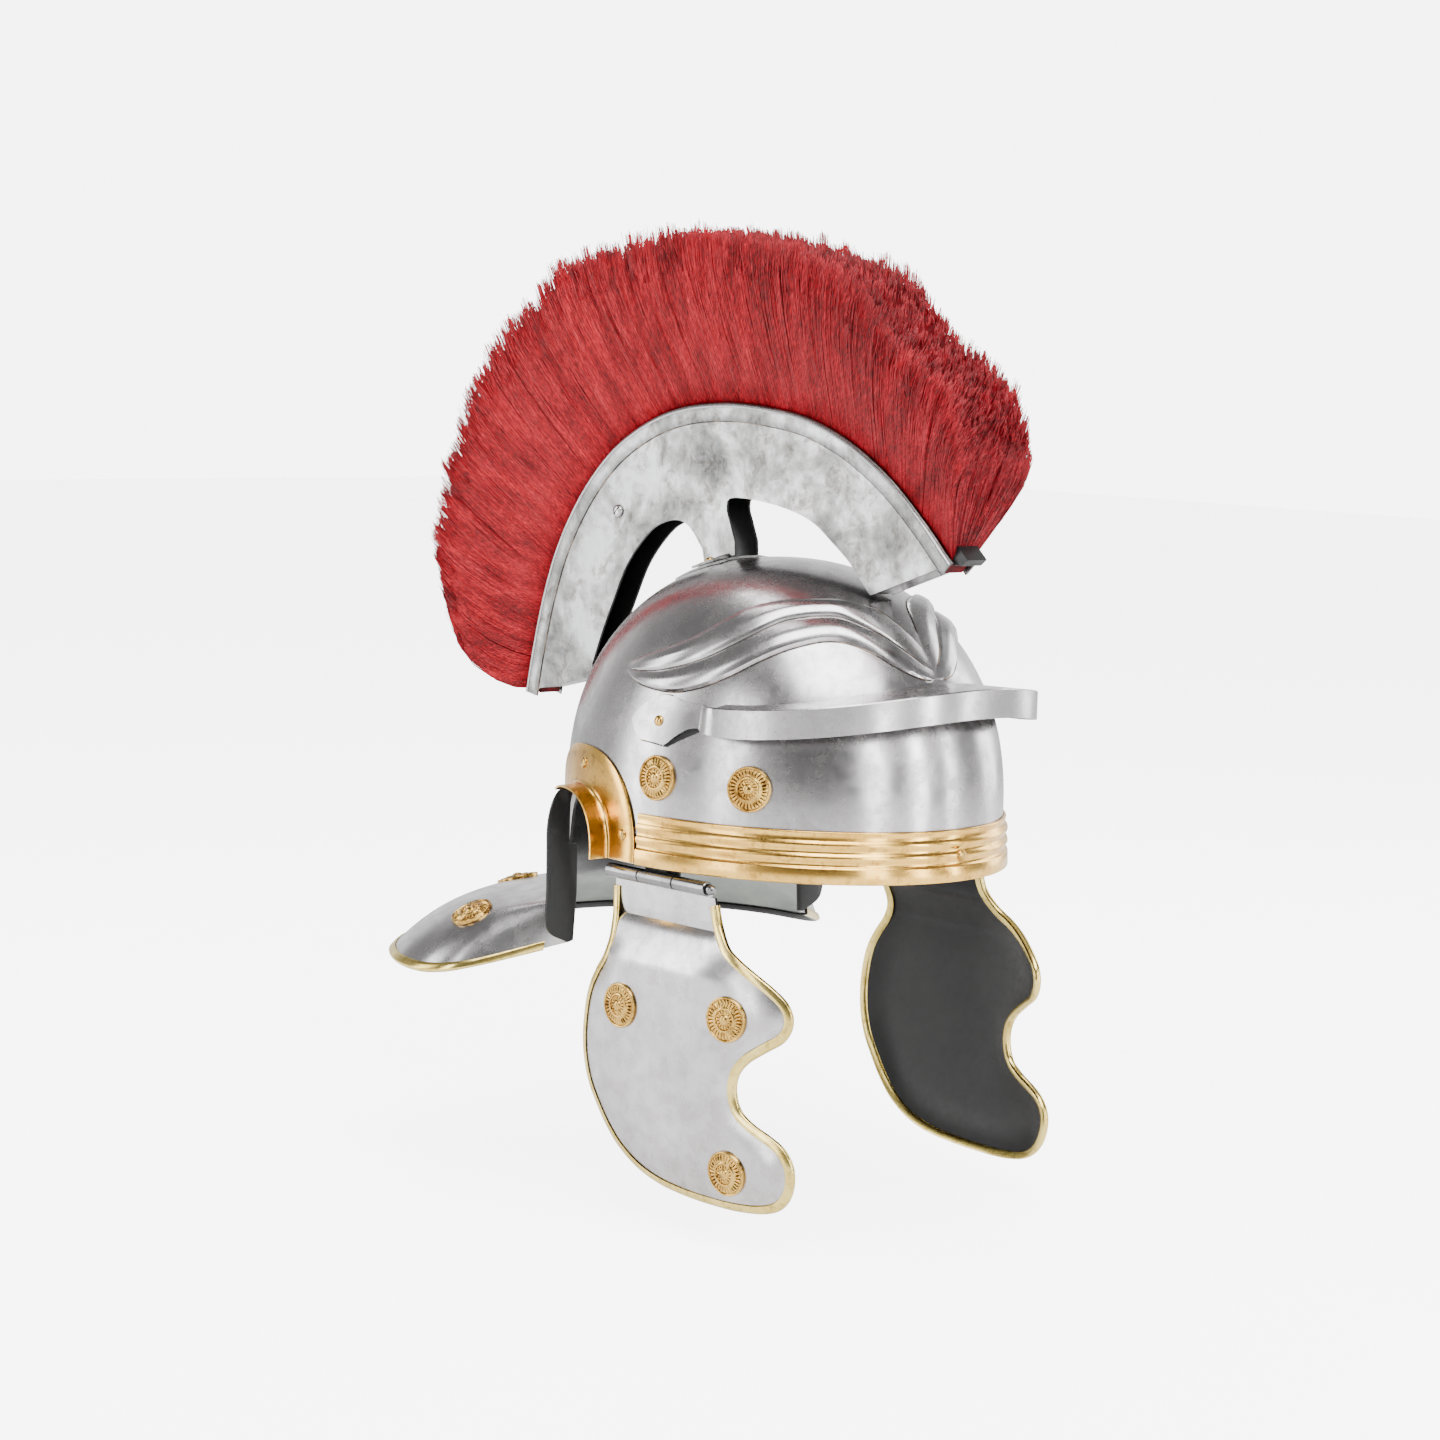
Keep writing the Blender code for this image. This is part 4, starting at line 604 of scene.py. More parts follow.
# Height over BAND_HEIGHT; how far the outer face stands out over BAND_PROUD
BAND_PROFILE = (
    (0.000, 0.70), (0.012, 0.92), (0.035, 1.00), (0.160, 1.02), (0.285, 1.00), (0.315, 0.88),
    (0.330, 0.60), (0.350, 0.50), (0.400, 0.50), (0.425, 0.62), (0.460, 0.92), (0.500, 1.00),
    (0.540, 0.92), (0.575, 0.62), (0.595, 0.50), (0.640, 0.50), (0.665, 0.62), (0.700, 0.92),
    (0.740, 1.00), (0.780, 0.92), (0.815, 0.62), (0.840, 0.50), (0.940, 0.48), (0.970, 0.62),
    (0.990, 0.58), (1.000, 0.40),
)


def rim_band():
    """Brass band with a plain lip below and two beads above it."""
    start = math.degrees(math.acos(-BAND_END / (HALF_LENGTH * RIM_SHARE)))
    degrees = np.linspace(-start, start, 181)
    profile = [(height * BAND_HEIGHT, proud * BAND_PROUD) for height, proud in BAND_PROFILE]
    profile = [(0.0, GAP), *profile, (BAND_HEIGHT, GAP), (BAND_HEIGHT / 2, GAP)]
    rings = np.stack([bowl_point(degrees, 0 * degrees + z, out) for z, out in profile], axis=1)
    piece("rim band", loft(rings), [BRASS], stands_for=["rim_band"], sharp=50.0)


def visor_height(degrees):
    lift = np.cos(np.radians(np.minimum(np.abs(degrees), 70.0) * 90.0 / 70.0)) ** 2
    return VISOR_SIDE + (VISOR_FRONT - VISOR_SIDE) * lift


def visor_plan(degrees):
    turn = np.radians(degrees)
    x, y = HALF_WIDTH * np.sin(turn), -HALF_LENGTH * np.cos(turn)
    reach = (np.abs(x) / VISOR_HALF_WIDTH) ** VISOR_POWER + (np.abs(y) / VISOR_REACH) ** VISOR_POWER
    return x / reach ** (1 / VISOR_POWER), y / reach ** (1 / VISOR_POWER)


# End plate from its neck to its tip: y, lower edge, upper edge
END_PLATE = (
    (-32.3, 65.9, 76.3), (-26.5, 64.7, 76.2), (-20.6, 61.2, 76.7), (-15.2, 57.0, 78.1),
    (-9.8, 57.2, 78.7), (-3.9, 57.7, 77.1), (1.0, 58.1, 74.8), (5.4, 61.6, 70.9), (8.6, 65.3, 66.8),
)


def visor_end(side):
    """Cross-sections of the end plate from its tip to its neck, flat on the bowl."""
    ends = []
    for y, low, top in spline(END_PLATE, 34)[::-1]:
        z = np.linspace(top, low, 7)
        ends.append([bowl_side(side, np.full(7, y), z, out) for out in (GAP + VISOR_SHEET, GAP)])
    return ends


def visor_strip():
    """Cross-sections of the upright strip, each with its flange's far edge on the bowl."""
    strip, count = [], 121
    for k in range(count):
        degrees = -VISOR_ARC + 2 * VISOR_ARC * k / (count - 1)
        top = float(visor_height(degrees))
        x, y = (float(v) for v in visor_plan(degrees))
        inward = np.array(Vector((-x, -y, 0)).normalized() * VISOR_SHEET)
        near_end = min(k, count - 1 - k) / 8.0
        drop = VISOR_END_DROP + (VISOR_DROP - VISOR_END_DROP) * min(1.0, near_end)
        z = np.linspace(top, top - drop, 7)
        outer = np.stack([np.full(7, x), np.full(7, y), z], axis=1)
        # The strip's top corner is rounded where it is bent over
        outer[0] += inward * 0.35
        outer[1, 2] = top - 0.5
        inner = outer + inward
        inner[0, :2] = (np.array([x, y, 0]) + inward)[:2]
        flange = [bowl_point(degrees, z, GAP) for z in (top, top - VISOR_SHEET)]
        strip.append((outer, inner, flange))
    return strip


def visor_bend(plate, strip):
    """Cross-sections by which an end plate's neck turns round into the strip."""
    bend = []
    for t in (0.2, 0.4, 0.6, 0.8):
        near, at, far = (1 - t) ** 2, 2 * t * (1 - t), t * t
        shapes = zip(plate, strip[0][:2], strip[BEND_STATIONS][:2])
        bend.append([near * a + at * b + far * c for a, b, c in shapes])
    return bend


def brow_guard():
    """Upright strip flanged back to the bowl along its top, its ends flat on the bowl."""
    right, left = visor_end(-1.0), visor_end(1.0)
    strip = visor_strip()
    path = right + visor_bend(right[-1], strip) + strip[BEND_STATIONS:-BEND_STATIONS]
    path += visor_bend(left[-1], strip[::-1])[::-1] + left[::-1]
    verts, faces, index = [], [], []
    for outer, inner, *flanges in path:
        shoulder = inner[0] + np.array([0, 0, -VISOR_SHEET])
        start, flange = len(verts), None
        verts += [*outer, *inner[:0:-1], shoulder, inner[0]]
        size = len(verts) - start
        for back in flanges:
            flange = (len(verts), len(verts) + 4)
            for near, far in zip((inner[0], shoulder), back):
                verts += [near + (far - near) * t for t in (0.25, 0.5, 0.75, 1.0)]
        index.append((start, flange))

    def edge(start, flange, low):
        """Vertices along the flange's upper or lower side, from the strip to the bowl."""
        return [start + size - 1 - low] + [flange[low] + t for t in range(4)]

    for (a, fa), (b, fb) in zip(index, index[1:]):
        for k in range(size):
            if k == size - 2 and fa and fb:
                continue
            n = (k + 1) % size
            faces.append((a + k, a + n, b + n, b + k))
        if fa and fb:
            tops = list(zip(edge(a, fa, 0), edge(b, fb, 0)))
            lows = list(zip(edge(a, fa, 1), edge(b, fb, 1)))
            faces += [(p, r, s, q) for (p, q), (r, s) in zip(tops, tops[1:])]
            faces += [(p, q, s, r) for (p, q), (r, s) in zip(lows, lows[1:])]
            faces.append((tops[-1][0], lows[-1][0], lows[-1][1], tops[-1][1]))
    flanged = [station for station in index if station[1]]
    for station, turn in ((flanged[0], 1), (flanged[-1], -1)):
        tops, lows = edge(*station, 0), edge(*station, 1)
        faces += [(p, q, r, s)[::turn] for p, q, r, s in zip(tops, tops[1:], lows[1:], lows)]
    first, last = index[0][0], index[-1][0]
    faces.append(tuple(first + k for k in range(size)))
    faces.append(tuple(last + k for k in reversed(range(size))))
    piece("brow guard", (verts, faces), [STEEL], stands_for=["brow_guard"], sharp=40.0)


def plate_line(name, side):
    """Dark line of painted shade in the gap round the brow guard's end plate."""
    plate = spline(END_PLATE, 34)
    free = plate[plate[:, 0] > -13.0]
    loop = np.vstack([free[:, :2], free[::-1][:, [0, 2]]])
    dark_line("plate line " + name, bowl_side(side, loop[:, 0], loop[:, 1], 0.25), PLATE_LINE_HALF)


def brow_notch(name, side):
    """Black sheet of painted shade in the gap under the neck of the brow guard's end plate."""
    corner = ((-13.2, 56.0), (-15.4, 56.0), (-31.6, 64.2), (-31.2, 66.3), (-26.5, 65.0), (-15.2, 57.3))
    rings = [[tuple(bowl_side(side, y, z, out)) for y, z in corner] for out in (0.2, 0.55)]
    piece("brow notch " + name, loft(rings), [BLACK], sharp=30.0)


def ear_guard(name, side):
    """Flat flange on the bowl with an arched wall standing out from it, up to the neck's flange."""
    reach = (EAR_WALL_END - EAR_MIDDLE) / EAR_ARCH_LENGTH
    end = math.pi - math.acos(reach ** (EAR_POWER / 2.0))
    turn = np.sort(np.concatenate([np.pi * np.arange(73) / 72, [end, end + 0.004]]))

    def curve(grow):
        y, z = arch(EAR_ARCH_LENGTH + grow, EAR_ARCH_HEIGHT + grow, EAR_MIDDLE, turn)
        return np.stack([y, np.maximum(z, 0.4)])

    def on_bowl(line, out):
        return bowl_side(side, *line, out)

    root, crown, wide = curve(0.0), curve(EAR_SHEET), curve(EAR_SHEET + 2.4)
    y, z = arch(EAR_PLATE_LENGTH, EAR_PLATE_HEIGHT, EAR_PLATE_MIDDLE, turn)
    edge = np.stack([y, np.maximum(z, 0.4)])
    out = GAP + EAR_SHEET
    stand = np.where(turn <= end + 1e-9, EAR_STAND_OUT, out + 0.2)
    bend = EAR_FILLET * (stand - out) / (EAR_STAND_OUT - out)
    ring = [on_bowl(edge, GAP), on_bowl(edge, out - 0.25), on_bowl(edge * 0.97 + crown * 0.03, out)]
    ring += [on_bowl(edge * (1 - t) + wide * t, out) for t in (0.3, 0.65)]
    foot, base = on_bowl(wide, out), on_bowl(crown, 0.0)
    ring.append(foot)
    # Fillet from the flange up into the standing wall
    for t in (0.25, 0.5, 0.75, 1.0):
        lift = bend * (1 - math.cos(t * math.pi / 2)) + out
        across = math.sin(t * math.pi / 2)
        p = foot + (base - foot) * across
        p[:, 0] = base[:, 0] * across + foot[:, 0] * (1 - across) + side * lift * across
        ring.append(p)

    def risen(line, lift):
        """The wall's outline along a curve, as far out as given."""
        p = base.copy()
        p[:, 0] += side * lift
        p[:, 1:] = line.T
        return p

    ring += [risen(crown, out + bend + (stand - out - bend) * t) for t in (0.45, 0.8, 0.97)]
    lip, inner = risen(root, stand), on_bowl(root, GAP)
    deep = lip.copy()
    deep[:, 0] = (inner[:, 0] + lip[:, 0]) / 2
    ring += [risen(crown * 0.75 + root * 0.25, stand), lip, deep, inner]
    ring.append(on_bowl((root + edge) / 2, GAP))
    shape, stands_for = loft(np.stack(ring, axis=1)), ["ear_guard_" + name]
    piece("ear guard " + name, shape, [EAR_BRASS], stands_for=stands_for, sharp=38.0)


# Brim's edge from the flange to the middle: x, y, drop
BRIM_EDGE = (
    (77.9, 63.5, 47.6), (92.0, 72.9, 52.0), (110.0, 85.0, 57.5), (122.0, 94.9, 61.0),
    (128.0, 107.0, 63.0), (129.0, 119.9, 63.5), (125.0, 137.1, 63.0), (113.0, 156.0, 62.0),
    (94.9, 170.0, 61.0), (70.0, 179.9, 60.0), (40.0, 185.9, 59.0), (0.0, 188.0, 58.5),
)


def neck_half(count, steps):
    """Half of the neck guard's middle surface: rows round to the rear, columns down."""
    edge = spline(BRIM_EDGE, count)
    share = np.linspace(0, 1, count)[:, None]
    start = math.acos(-NECK_FRONT / (HALF_LENGTH * RIM_SHARE))
    turn = start + (math.pi - start) * share
    across, ahead = np.sin(turn), -np.cos(turn)
    top = np.concatenate([HALF_WIDTH * RIM_SHARE * across, HALF_LENGTH * RIM_SHARE * ahead], axis=1)
    normal = np.concatenate([across / HALF_WIDTH, ahead / HALF_LENGTH], axis=1)
    normal /= np.linalg.norm(normal, axis=1, keepdims=True)
    s = np.asarray(steps)[None, :]
    b1, b2, b3 = 3 * s * (1 - s) ** 2, 3 * s**2 * (1 - s), s**3
    reach = edge[:, :2] - top
    plan = (
        top[:, None]
        - normal[:, None] * NAPE_TUCK * b1[..., None]
        + reach[:, None] * (0.448 * b2 + b3)[..., None]
    )
    z = -0.3 - NAPE_DROP * b1 - edge[:, 2:] * (0.118 * b2 + b3)
    return np.concatenate([plan, z[..., None]], axis=2)


NECK_STEPS = np.linspace(0, 1, 33)
# Rows of the under side, from the rim down, that are painted black
PAINTED_STEPS = 18


def neck_grid(trim=0):
    """Whole middle surface, shortened at both flanges by some rows, and its upward normals."""
    half = neck_half(97, NECK_STEPS)
    grid = np.concatenate([half * np.array([-1.0, 1.0, 1.0]), half[-2::-1]], axis=0)
    grid = grid[trim : len(grid) - trim]
    normals = grid_normals(grid)
    return grid, normals if normals[len(grid) // 2, 16, 2] > 0 else -normals


# Flange at the ear, from the rim outwards and down, and back up beside the nape: x, z
FLANGE_OUTLINE = (
    (79.9, 0.5), (79.9, 25.2), (82.8, 27.0), (86.6, 26.3), (90.3, 21.8), (92.7, 14.9), (93.6, 7.7),
    (93.4, -1.9), (92.9, -20.2), (92.1, -40.3), (79.4, -48.0), (76.0, -47.3), (74.5, -24.0),
    (74.9, -0.5),
)
# Planes of the flange's faces and edges, y, and the share by which each is drawn in
FLANGE_SECTION = ((62.4, 0.03), (62.65, 0.0), (63.75, 0.0), (64.0, 0.03))


def neck_guard():
    """Flared sheet below the rim, black beneath, with an upright flange at each ear."""
    grid, normals = neck_grid()
    outer, inner = grid + normals * SHEET / 2, grid - normals * SHEET / 2
    outer[:, 0, 2] = inner[:, 0, 2] = -GAP
    verts, faces, which = skins(outer, inner)
    # Beneath, the paint reaches down to the middle of the sheet
    spans = len(NECK_STEPS) - 1
    first, backs = which.index(1), which.count(1)
    under = [2 if k % spans < PAINTED_STEPS else 1 for k in range(backs)]
    which = which[:first] + under + [1] * (len(which) - first - backs)
    piece("neck guard", (verts, faces, which), [STEEL, UNDER, BLACK], stands_for=["neck_guard"])
    corners = np.array(FLANGE_OUTLINE)
    for name, side in SIDES.items():
        outline = np.vstack([spline(corners[1:11], 60), corners[11:], corners[:1]])
        outline[:, 0] *= side
        middle = outline.mean(axis=0)
        rings = []
        for y, drawn in FLANGE_SECTION:
            ring = outline + (middle - outline) * drawn
            rings.append(np.stack([ring[:, 0], 0 * ring[:, 0] + y, ring[:, 1]], axis=1))
        piece("flange " + name, loft(rings), [BLACK], sharp=50.0)


BINDING_SHEET, BINDING_GAP = 0.8, 0.25


def bead(name, edge, inward, normals, thickness, body, stands_for, depth=3.2, under=None):
    """Rolled binding round a sheet's edge: a rounded U in section."""
    near = thickness / 2 + BINDING_GAP
    far = near + BINDING_SHEET
    turn = np.radians(np.linspace(-90, 90, 11))
    section = [(-(BINDING_GAP + BINDING_SHEET) * math.cos(a), far * math.sin(a)) for a in turn]
    section += [(depth * 0.5, far), (depth - 0.5, far * 0.97), (depth, far * 0.82), (depth, near)]
    section += [(depth * 0.5, near), (-BINDING_GAP, near), (-BINDING_GAP, -near), (depth * 0.5, -near)]
    section += [(depth, -near), (depth, -far * 0.82), (depth - 0.5, -far * 0.97), (depth * 0.5, -far)]
    rings = []
    for point, way, normal in zip(edge, inward, normals):
        rings.append([point + way * a + normal * b for a, b in section])
    shape, looks = loft(rings), [TRIM_BRASS]
    if under:
        # Painted shade: the black look covers the binding's under side, for the shade and dark
        # reflections that fall there
        looks.append(under)
        which = [int(k % len(section) < 5 or k % len(section) >= 18) for k in range(len(shape[1]))]
        shape = (*shape, which)
    piece(name, shape, looks, body, stands_for, sharp=45.0)


def neck_trim():
    grid, normals = neck_grid(5)
    edge = grid[:, -1]
    way = unit(grid[:, -2] - edge)
    bead("neck binding", edge, way, normals[:, -1], SHEET, "helmet", ["neck_trim"], 3.6, BLACK)


# Cheek piece's edge from the hinge's rear end round to its front end: y over CHEEK_LENGTH,
# depth below the top over CHEEK_HEIGHT
CHEEK_EDGE = (
    (0.128, 0.000), (0.124, 0.075), (0.110, 0.145), (0.105, 0.200), (0.124, 0.255), (0.162, 0.310),
    (0.195, 0.370), (0.215, 0.445), (0.223, 0.540), (0.214, 0.625), (0.190, 0.700), (0.152, 0.765),
    (0.105, 0.832), (0.042, 0.897), (-0.045, 0.950), (-0.145, 0.981), (-0.261, 0.995), (-0.383, 1.000),
    (-0.490, 0.999), (-0.588, 0.988), (-0.655, 0.964), (-0.696, 0.920), (-0.713, 0.865),
    (-0.708, 0.812), (-0.675, 0.765), (-0.620, 0.733), (-0.560, 0.706), (-0.510, 0.668),
    (-0.488, 0.610), (-0.495, 0.550), (-0.530, 0.502), (-0.590, 0.458), (-0.645, 0.418),
    (-0.668, 0.365), (-0.655, 0.311), (-0.610, 0.266), (-0.545, 0.221), (-0.480, 0.182),
    (-0.425, 0.148), (-0.374, 0.085), (-0.346, 0.000),
)


def cheek_outline(count):
    edge = spline(CHEEK_EDGE, count)
    return np.stack([edge[:, 0] * CHEEK_LENGTH, CHEEK_TOP - edge[:, 1] * CHEEK_HEIGHT], axis=1)


CHEEK_LOOP = cheek_outline(160)


def loop_distance(points, starts, ends):
    """Distance of points in a plane from the nearest of some straight lines."""
    span = ends - starts
    gap = points[:, None] - starts
    t = np.clip(np.sum(gap * span, axis=2) / np.maximum(np.sum(span * span, axis=1), 1e-12), 0.0, 1.0)
    return np.linalg.norm(gap - t[..., None] * span, axis=2).min(axis=1)


def edge_distance(y, z):
    """Distance from the cheek piece's outline, in its plane."""
    points = np.stack(np.broadcast_arrays(y, z), axis=-1)
    gaps = loop_distance(points.reshape(-1, 2), CHEEK_LOOP[:-1], CHEEK_LOOP[1:])
    return gaps.reshape(points.shape[:-1])


def cheek_x(y, z):
    """Distance of a cheek piece's middle surface from the helmet's middle plane."""
    y, z = np.asarray(y, float), np.asarray(z, float)
    depth = (CHEEK_TOP - z) / CHEEK_HEIGHT
    strip = HINGE_STRIP / CHEEK_HEIGHT
    flat = HINGE_X - KNUCKLE_RADIUS + CHEEK_SHEET / 2
    t = np.clip((depth - strip) / (1.0 - strip), 0.0, 1.0)
    near = np.minimum(1.0, t / 0.14)
    rise = CHEEK_DOME * near**0.7
    rise = rise * (1.0 - 0.55 * np.clip((t - 0.45) / 0.55, 0.0, 1.0) ** 2)
    low = np.clip((t - 0.3) / 0.5, 0.0, 1.0)
    curl = np.clip(-(y + 40.0), 0.0, None) ** 2 * ((1 - low) / 232.0 + low / 500.0)
    back = np.clip(y - 5.0, 0.0, None) ** 2 / 833.0
    # The edge is dished inwards all round, below the crease
    dished = CHEEK_DISH * np.clip(1.0 - edge_distance(y, z) / CHEEK_DISH_WIDTH, 0.0, 1.0) ** 2
    return flat + rise - near * (curl + back) - smoothstep(t / 0.2) * dished


def cheek_surface(side, y, z, out=0.0):
    """Point of a cheek piece, out from its middle surface, and the normal there."""
    y, z = np.asarray(y, float), np.asarray(z, float)
    point = np.stack([side * cheek_x(y, z), y, z], axis=-1)
    ahead = np.stack([side * cheek_x(y + 0.5, z), y + 0.5, z], axis=-1) - point
    down = np.stack([side * cheek_x(y, z - 0.5), y, z - 0.5], axis=-1) - point
    normal = unit(np.cross(ahead, down))
    normal *= np.where(normal[..., :1] * side < 0, -1.0, 1.0)
    return point + normal * np.asarray(out, float)[..., None], normal


def loop_inward(loop):
    """Directions across a line in its plane, to the right of its course."""
    along = unit(np.gradient(loop, axis=0))
    return np.stack([along[:, 1], -along[:, 0]], axis=1)


def inside_loop(points, loop):
    x, y = points[:, 0:1], points[:, 1:2]
    a, b = loop, np.roll(loop, -1, axis=0)
    crosses = (a[:, 1] > y) != (b[:, 1] > y)
    with np.errstate(divide="ignore", invalid="ignore"):
        at = (b[:, 0] - a[:, 0]) * (y - a[:, 1]) / (b[:, 1] - a[:, 1]) + a[:, 0]
    return (np.sum(crosses & (x < at), axis=1) % 2) == 1


def fill(loop, step, margin):
    """Triangles that fill an outline, with a grid of points inside it."""
    low, high = loop.min(axis=0), loop.max(axis=0)
    ys, zs = np.arange(low[0], high[0], step), np.arange(low[1], high[1], step)
    field = np.stack(np.meshgrid(ys, zs), axis=-1).reshape(-1, 2)
    field = field[inside_loop(field, loop)]
    field = field[loop_distance(field, loop, np.roll(loop, -1, axis=0)) > margin]
    points = [Vector(p) for p in loop] + [Vector(p) for p in field]
    edges = [(k, (k + 1) % len(loop)) for k in range(len(loop))]
    made, _, tris, *_ = delaunay_2d_cdt(points, edges, [], 1, 1e-4)
    made = np.array([tuple(p) for p in made])
    tris = np.array([tuple(t) for t in tris])
    keep = inside_loop(made[tris].mean(axis=1), loop)
    return made, tris[keep]


def plate(points, tris, front, back):
    """Closed body from a flat triangulation and its two faces in space."""
    base = len(points)
    faces = [tuple(t) for t in tris] + [tuple(base + i for i in t[::-1]) for t in tris]
    which = [0] * len(tris) + [1] * len(tris)
    used = set()
    for t in tris:
        for a, b in ((t[0], t[1]), (t[1], t[2]), (t[2], t[0])):
            used.add((int(a), int(b)))
    for a, b in used:
        if (b, a) not in used:
            faces.append((b, a, base + a, base + b))
            which.append(1)
    return np.vstack([front, back]), faces, which


def turned(side, profile, steps=32):
    """Rings round the hinge's axis, from pairs of radius and y."""
    turn = np.linspace(0, 2 * np.pi, steps, endpoint=False)
    rings = []
    for r, y in profile:
        rings.append([(side * (HINGE_X + r * math.cos(t)), y, HINGE_Z + r * math.sin(t)) for t in turn])
    return rings


def barrel(side, rear, ahead):
    """Hinge knuckle: a rolled tube with softened edges and a bore."""
    r, bore, soft = KNUCKLE_RADIUS, 1.45, 0.35
    profile = [(r - soft, rear), (r, rear - soft), (r, ahead + soft), (r - soft, ahead)]
    return loft(turned(side, profile + [(bore, ahead), (bore, rear)]), closed_path=True)


# Cheek piece's knuckles and tabs: rear end of the knuckle, of the tab, front end of both
CHEEK_KNUCKLES = ((20.5, 18.0, -1.1), (-25.2, -25.2, -46.5))


def cheek_piece(name, side):
    body = "cheek_" + name
    loop = cheek_outline(260)
    points, tris = fill(loop, 2.4, 1.1)
    half = CHEEK_SHEET / 2
    faces = [cheek_surface(side, points[:, 0], points[:, 1], out)[0] for out in (half, -half)]
    shape = plate(points, tris, *faces)
    piece("cheek piece " + name, shape, [STEEL, BLACK], body=body, stands_for=["cheek_piece_" + name])
    x = HINGE_X - KNUCKLE_RADIUS
    corners = ((x, HINGE_Z + 0.3), (x + 0.1, -10.8), (x + 1.3, -10.8), (x + 1.4, HINGE_Z - 1.9))
    for k, (rear, tab_rear, ahead) in enumerate(CHEEK_KNUCKLES, 1):
        piece(f"cheek knuckle {name} {k}", barrel(side, rear, ahead), [DARK_STEEL], body=body)
        rings = [[(side * x, y, z) for x, z in corners] for y in (tab_rear, ahead)]
        piece(f"cheek tab {name} {k}", loft(rings), [STEEL], body=body)
    edge, moved = loop[2:-2], (loop + loop_inward(loop))[2:-2]
    point, normal = cheek_surface(side, edge[:, 0], edge[:, 1])
    inner = cheek_surface(side, moved[:, 0], moved[:, 1])[0]
    # The binding turns smoothly past the crease
    for line in (normal, point, inner):
        held = line.copy()
        for _ in range(20):
            line[1:-1] = (line[:-2] + line[1:-1] + line[2:]) / 3.0
        if line is not normal:
            line[:, 1:] = held[:, 1:]
    trim = ["cheek_trim_" + name]
    bead("cheek binding " + name, point, unit(inner - point), unit(normal), CHEEK_SHEET, body, trim)


# Hinge pin's radius and y from its rear end to its head
PIN_PROFILE = (
    (1.1, 22.0), (1.4, 21.6), (1.4, -46.6), (2.1, -47.2), (2.3, -48.6), (1.9, -50.2), (1.2, -50.9),
)


def hinge(name, side):
    """Fixed knuckle and leaf of the hinge, with its pin, and black rings of painted shade in the gaps
    between its parts.
    """
    rear, ahead = -1.5, -24.8
    inner_x = HINGE_X - KNUCKLE_RADIUS
    rings = []
    for y in np.linspace(rear, ahead, 13):
        ring = []
        for x, out, order in ((inner_x + 1.1, -SHEET - GAP, 1), (inner_x + 0.1, -2 * SHEET, -1)):
            line = [(side * x, y, HINGE_Z), (side * x, y, -1.0)]
            line += [tuple(bowl_side(side, y, z, out)) for z in (3.0, 6.0, 9.0, 12.0, 15.0)]
            ring += line[::order]
        rings.append(ring)
    piece("hinge leaf " + name, loft(rings), [BLACK], stands_for=["hinge_leaf_" + name])
    piece("hinge knuckle " + name, barrel(side, rear, ahead), [DARK_STEEL])
    # Painted shade: black rings fill the splits between the knuckles and the gap by the pin's head
    gaps = (
        ("rear", -1.15, -1.8, 3.36, "helmet"),
        ("front", -24.5, -25.15, 3.36, "helmet"),
        ("end", -46.2, -46.75, 2.7, "cheek_" + name),
    )
    for label, y, z, r, body in gaps:
        rings = turned(side, ((1.5, z), (r, z), (r, y), (1.5, y)))
        piece(f"hinge gap {label} {name}", loft(rings, closed_path=True), [BLACK], body=body)
    pin = loft(turned(side, PIN_PROFILE, 28))
    piece("hinge pin " + name, pin, [DARK_STEEL], stands_for=["hinge_pin_" + name])


# Crest box's outer edge from the rear end to the front end: y, z
CREST_OUTER = (
    (182.0, 58.0), (177.1, 82.1), (170.0, 109.1), (159.4, 136.1), (142.0, 163.1), (120.1, 185.0),
    (93.9, 200.0), (68.1, 208.0), (38.9, 211.0), (10.9, 209.9), (-16.9, 205.9), (-45.0, 196.0),
    (-71.0, 181.0), (-93.0, 163.1), (-111.9, 145.0),
)

# Crest box's inner edge from the rear end to the front end: y, z. The strut's foot is the
# pair at y 51.0 and 30.0
CREST_INNER = (
    (131.0, 70.5), (131.9, 77.0), (125.9, 92.0), (117.9, 109.1), (107.0, 130.0), (91.9, 146.0),
    (80.1, 151.9), (69.0, 153.0), (61.0, 149.0), (53.0, 140.1), (51.0, 132.2), (30.0, 138.9),
    (30.6, 145.6), (34.6, 155.1), (36.9, 161.4), (34.0, 166.1), (16.9, 166.1), (-4.9, 163.1),
    (-22.0, 158.0), (-36.0, 149.0), (-47.0, 141.0), (-55.0, 133.0), (-61.5, 126.6),
)

# Sections along the crest's outer edge: in from the edge, out from the plate's outer face
STRIP_SECTION = (
    (-0.3, -1.3), (-0.75, -0.5), (-0.7, 0.35), (-0.2, 0.9), (0.7, 1.05), (4.0, 0.95), (7.3, 0.85),
    (8.0, 0.5), (8.05, -0.1), (4.0, -0.1), (0.2, -0.1), (0.1, -1.3),
)
SEAM_SECTION = ((7.9, -0.2), (8.5, -0.2), (8.5, 0.14), (7.9, 0.5))
CROWN_SECTION = ((-0.2, 0.6), (1.7, 0.6), (1.5, 1.3), (0.75, 1.6), (0.0, 1.25))
# Block that closes the channel at the front: in from the edge, ahead
BLOCK_SECTION = ((3.0, -8.0), (2.0, -2.0), (-2.5, 4.0), (-7.0, 4.5), (-7.0, -7.0))


def crest_loops():
    outer = spline(CREST_OUTER, 150)
    inner = np.array(CREST_INNER)
    rear = spline(inner[1:10], 60)
    front = spline(inner[12:], 60)
    return outer, np.vstack([inner[:1], rear, inner[10:12], front])


def crest_inward(line):
    """Directions from a line along the crest towards the crest's middle."""
    inward, k = loop_inward(line), len(line) // 2
    return inward if np.dot(inward[k], CREST_MIDDLE - line[k]) > 0 else -inward


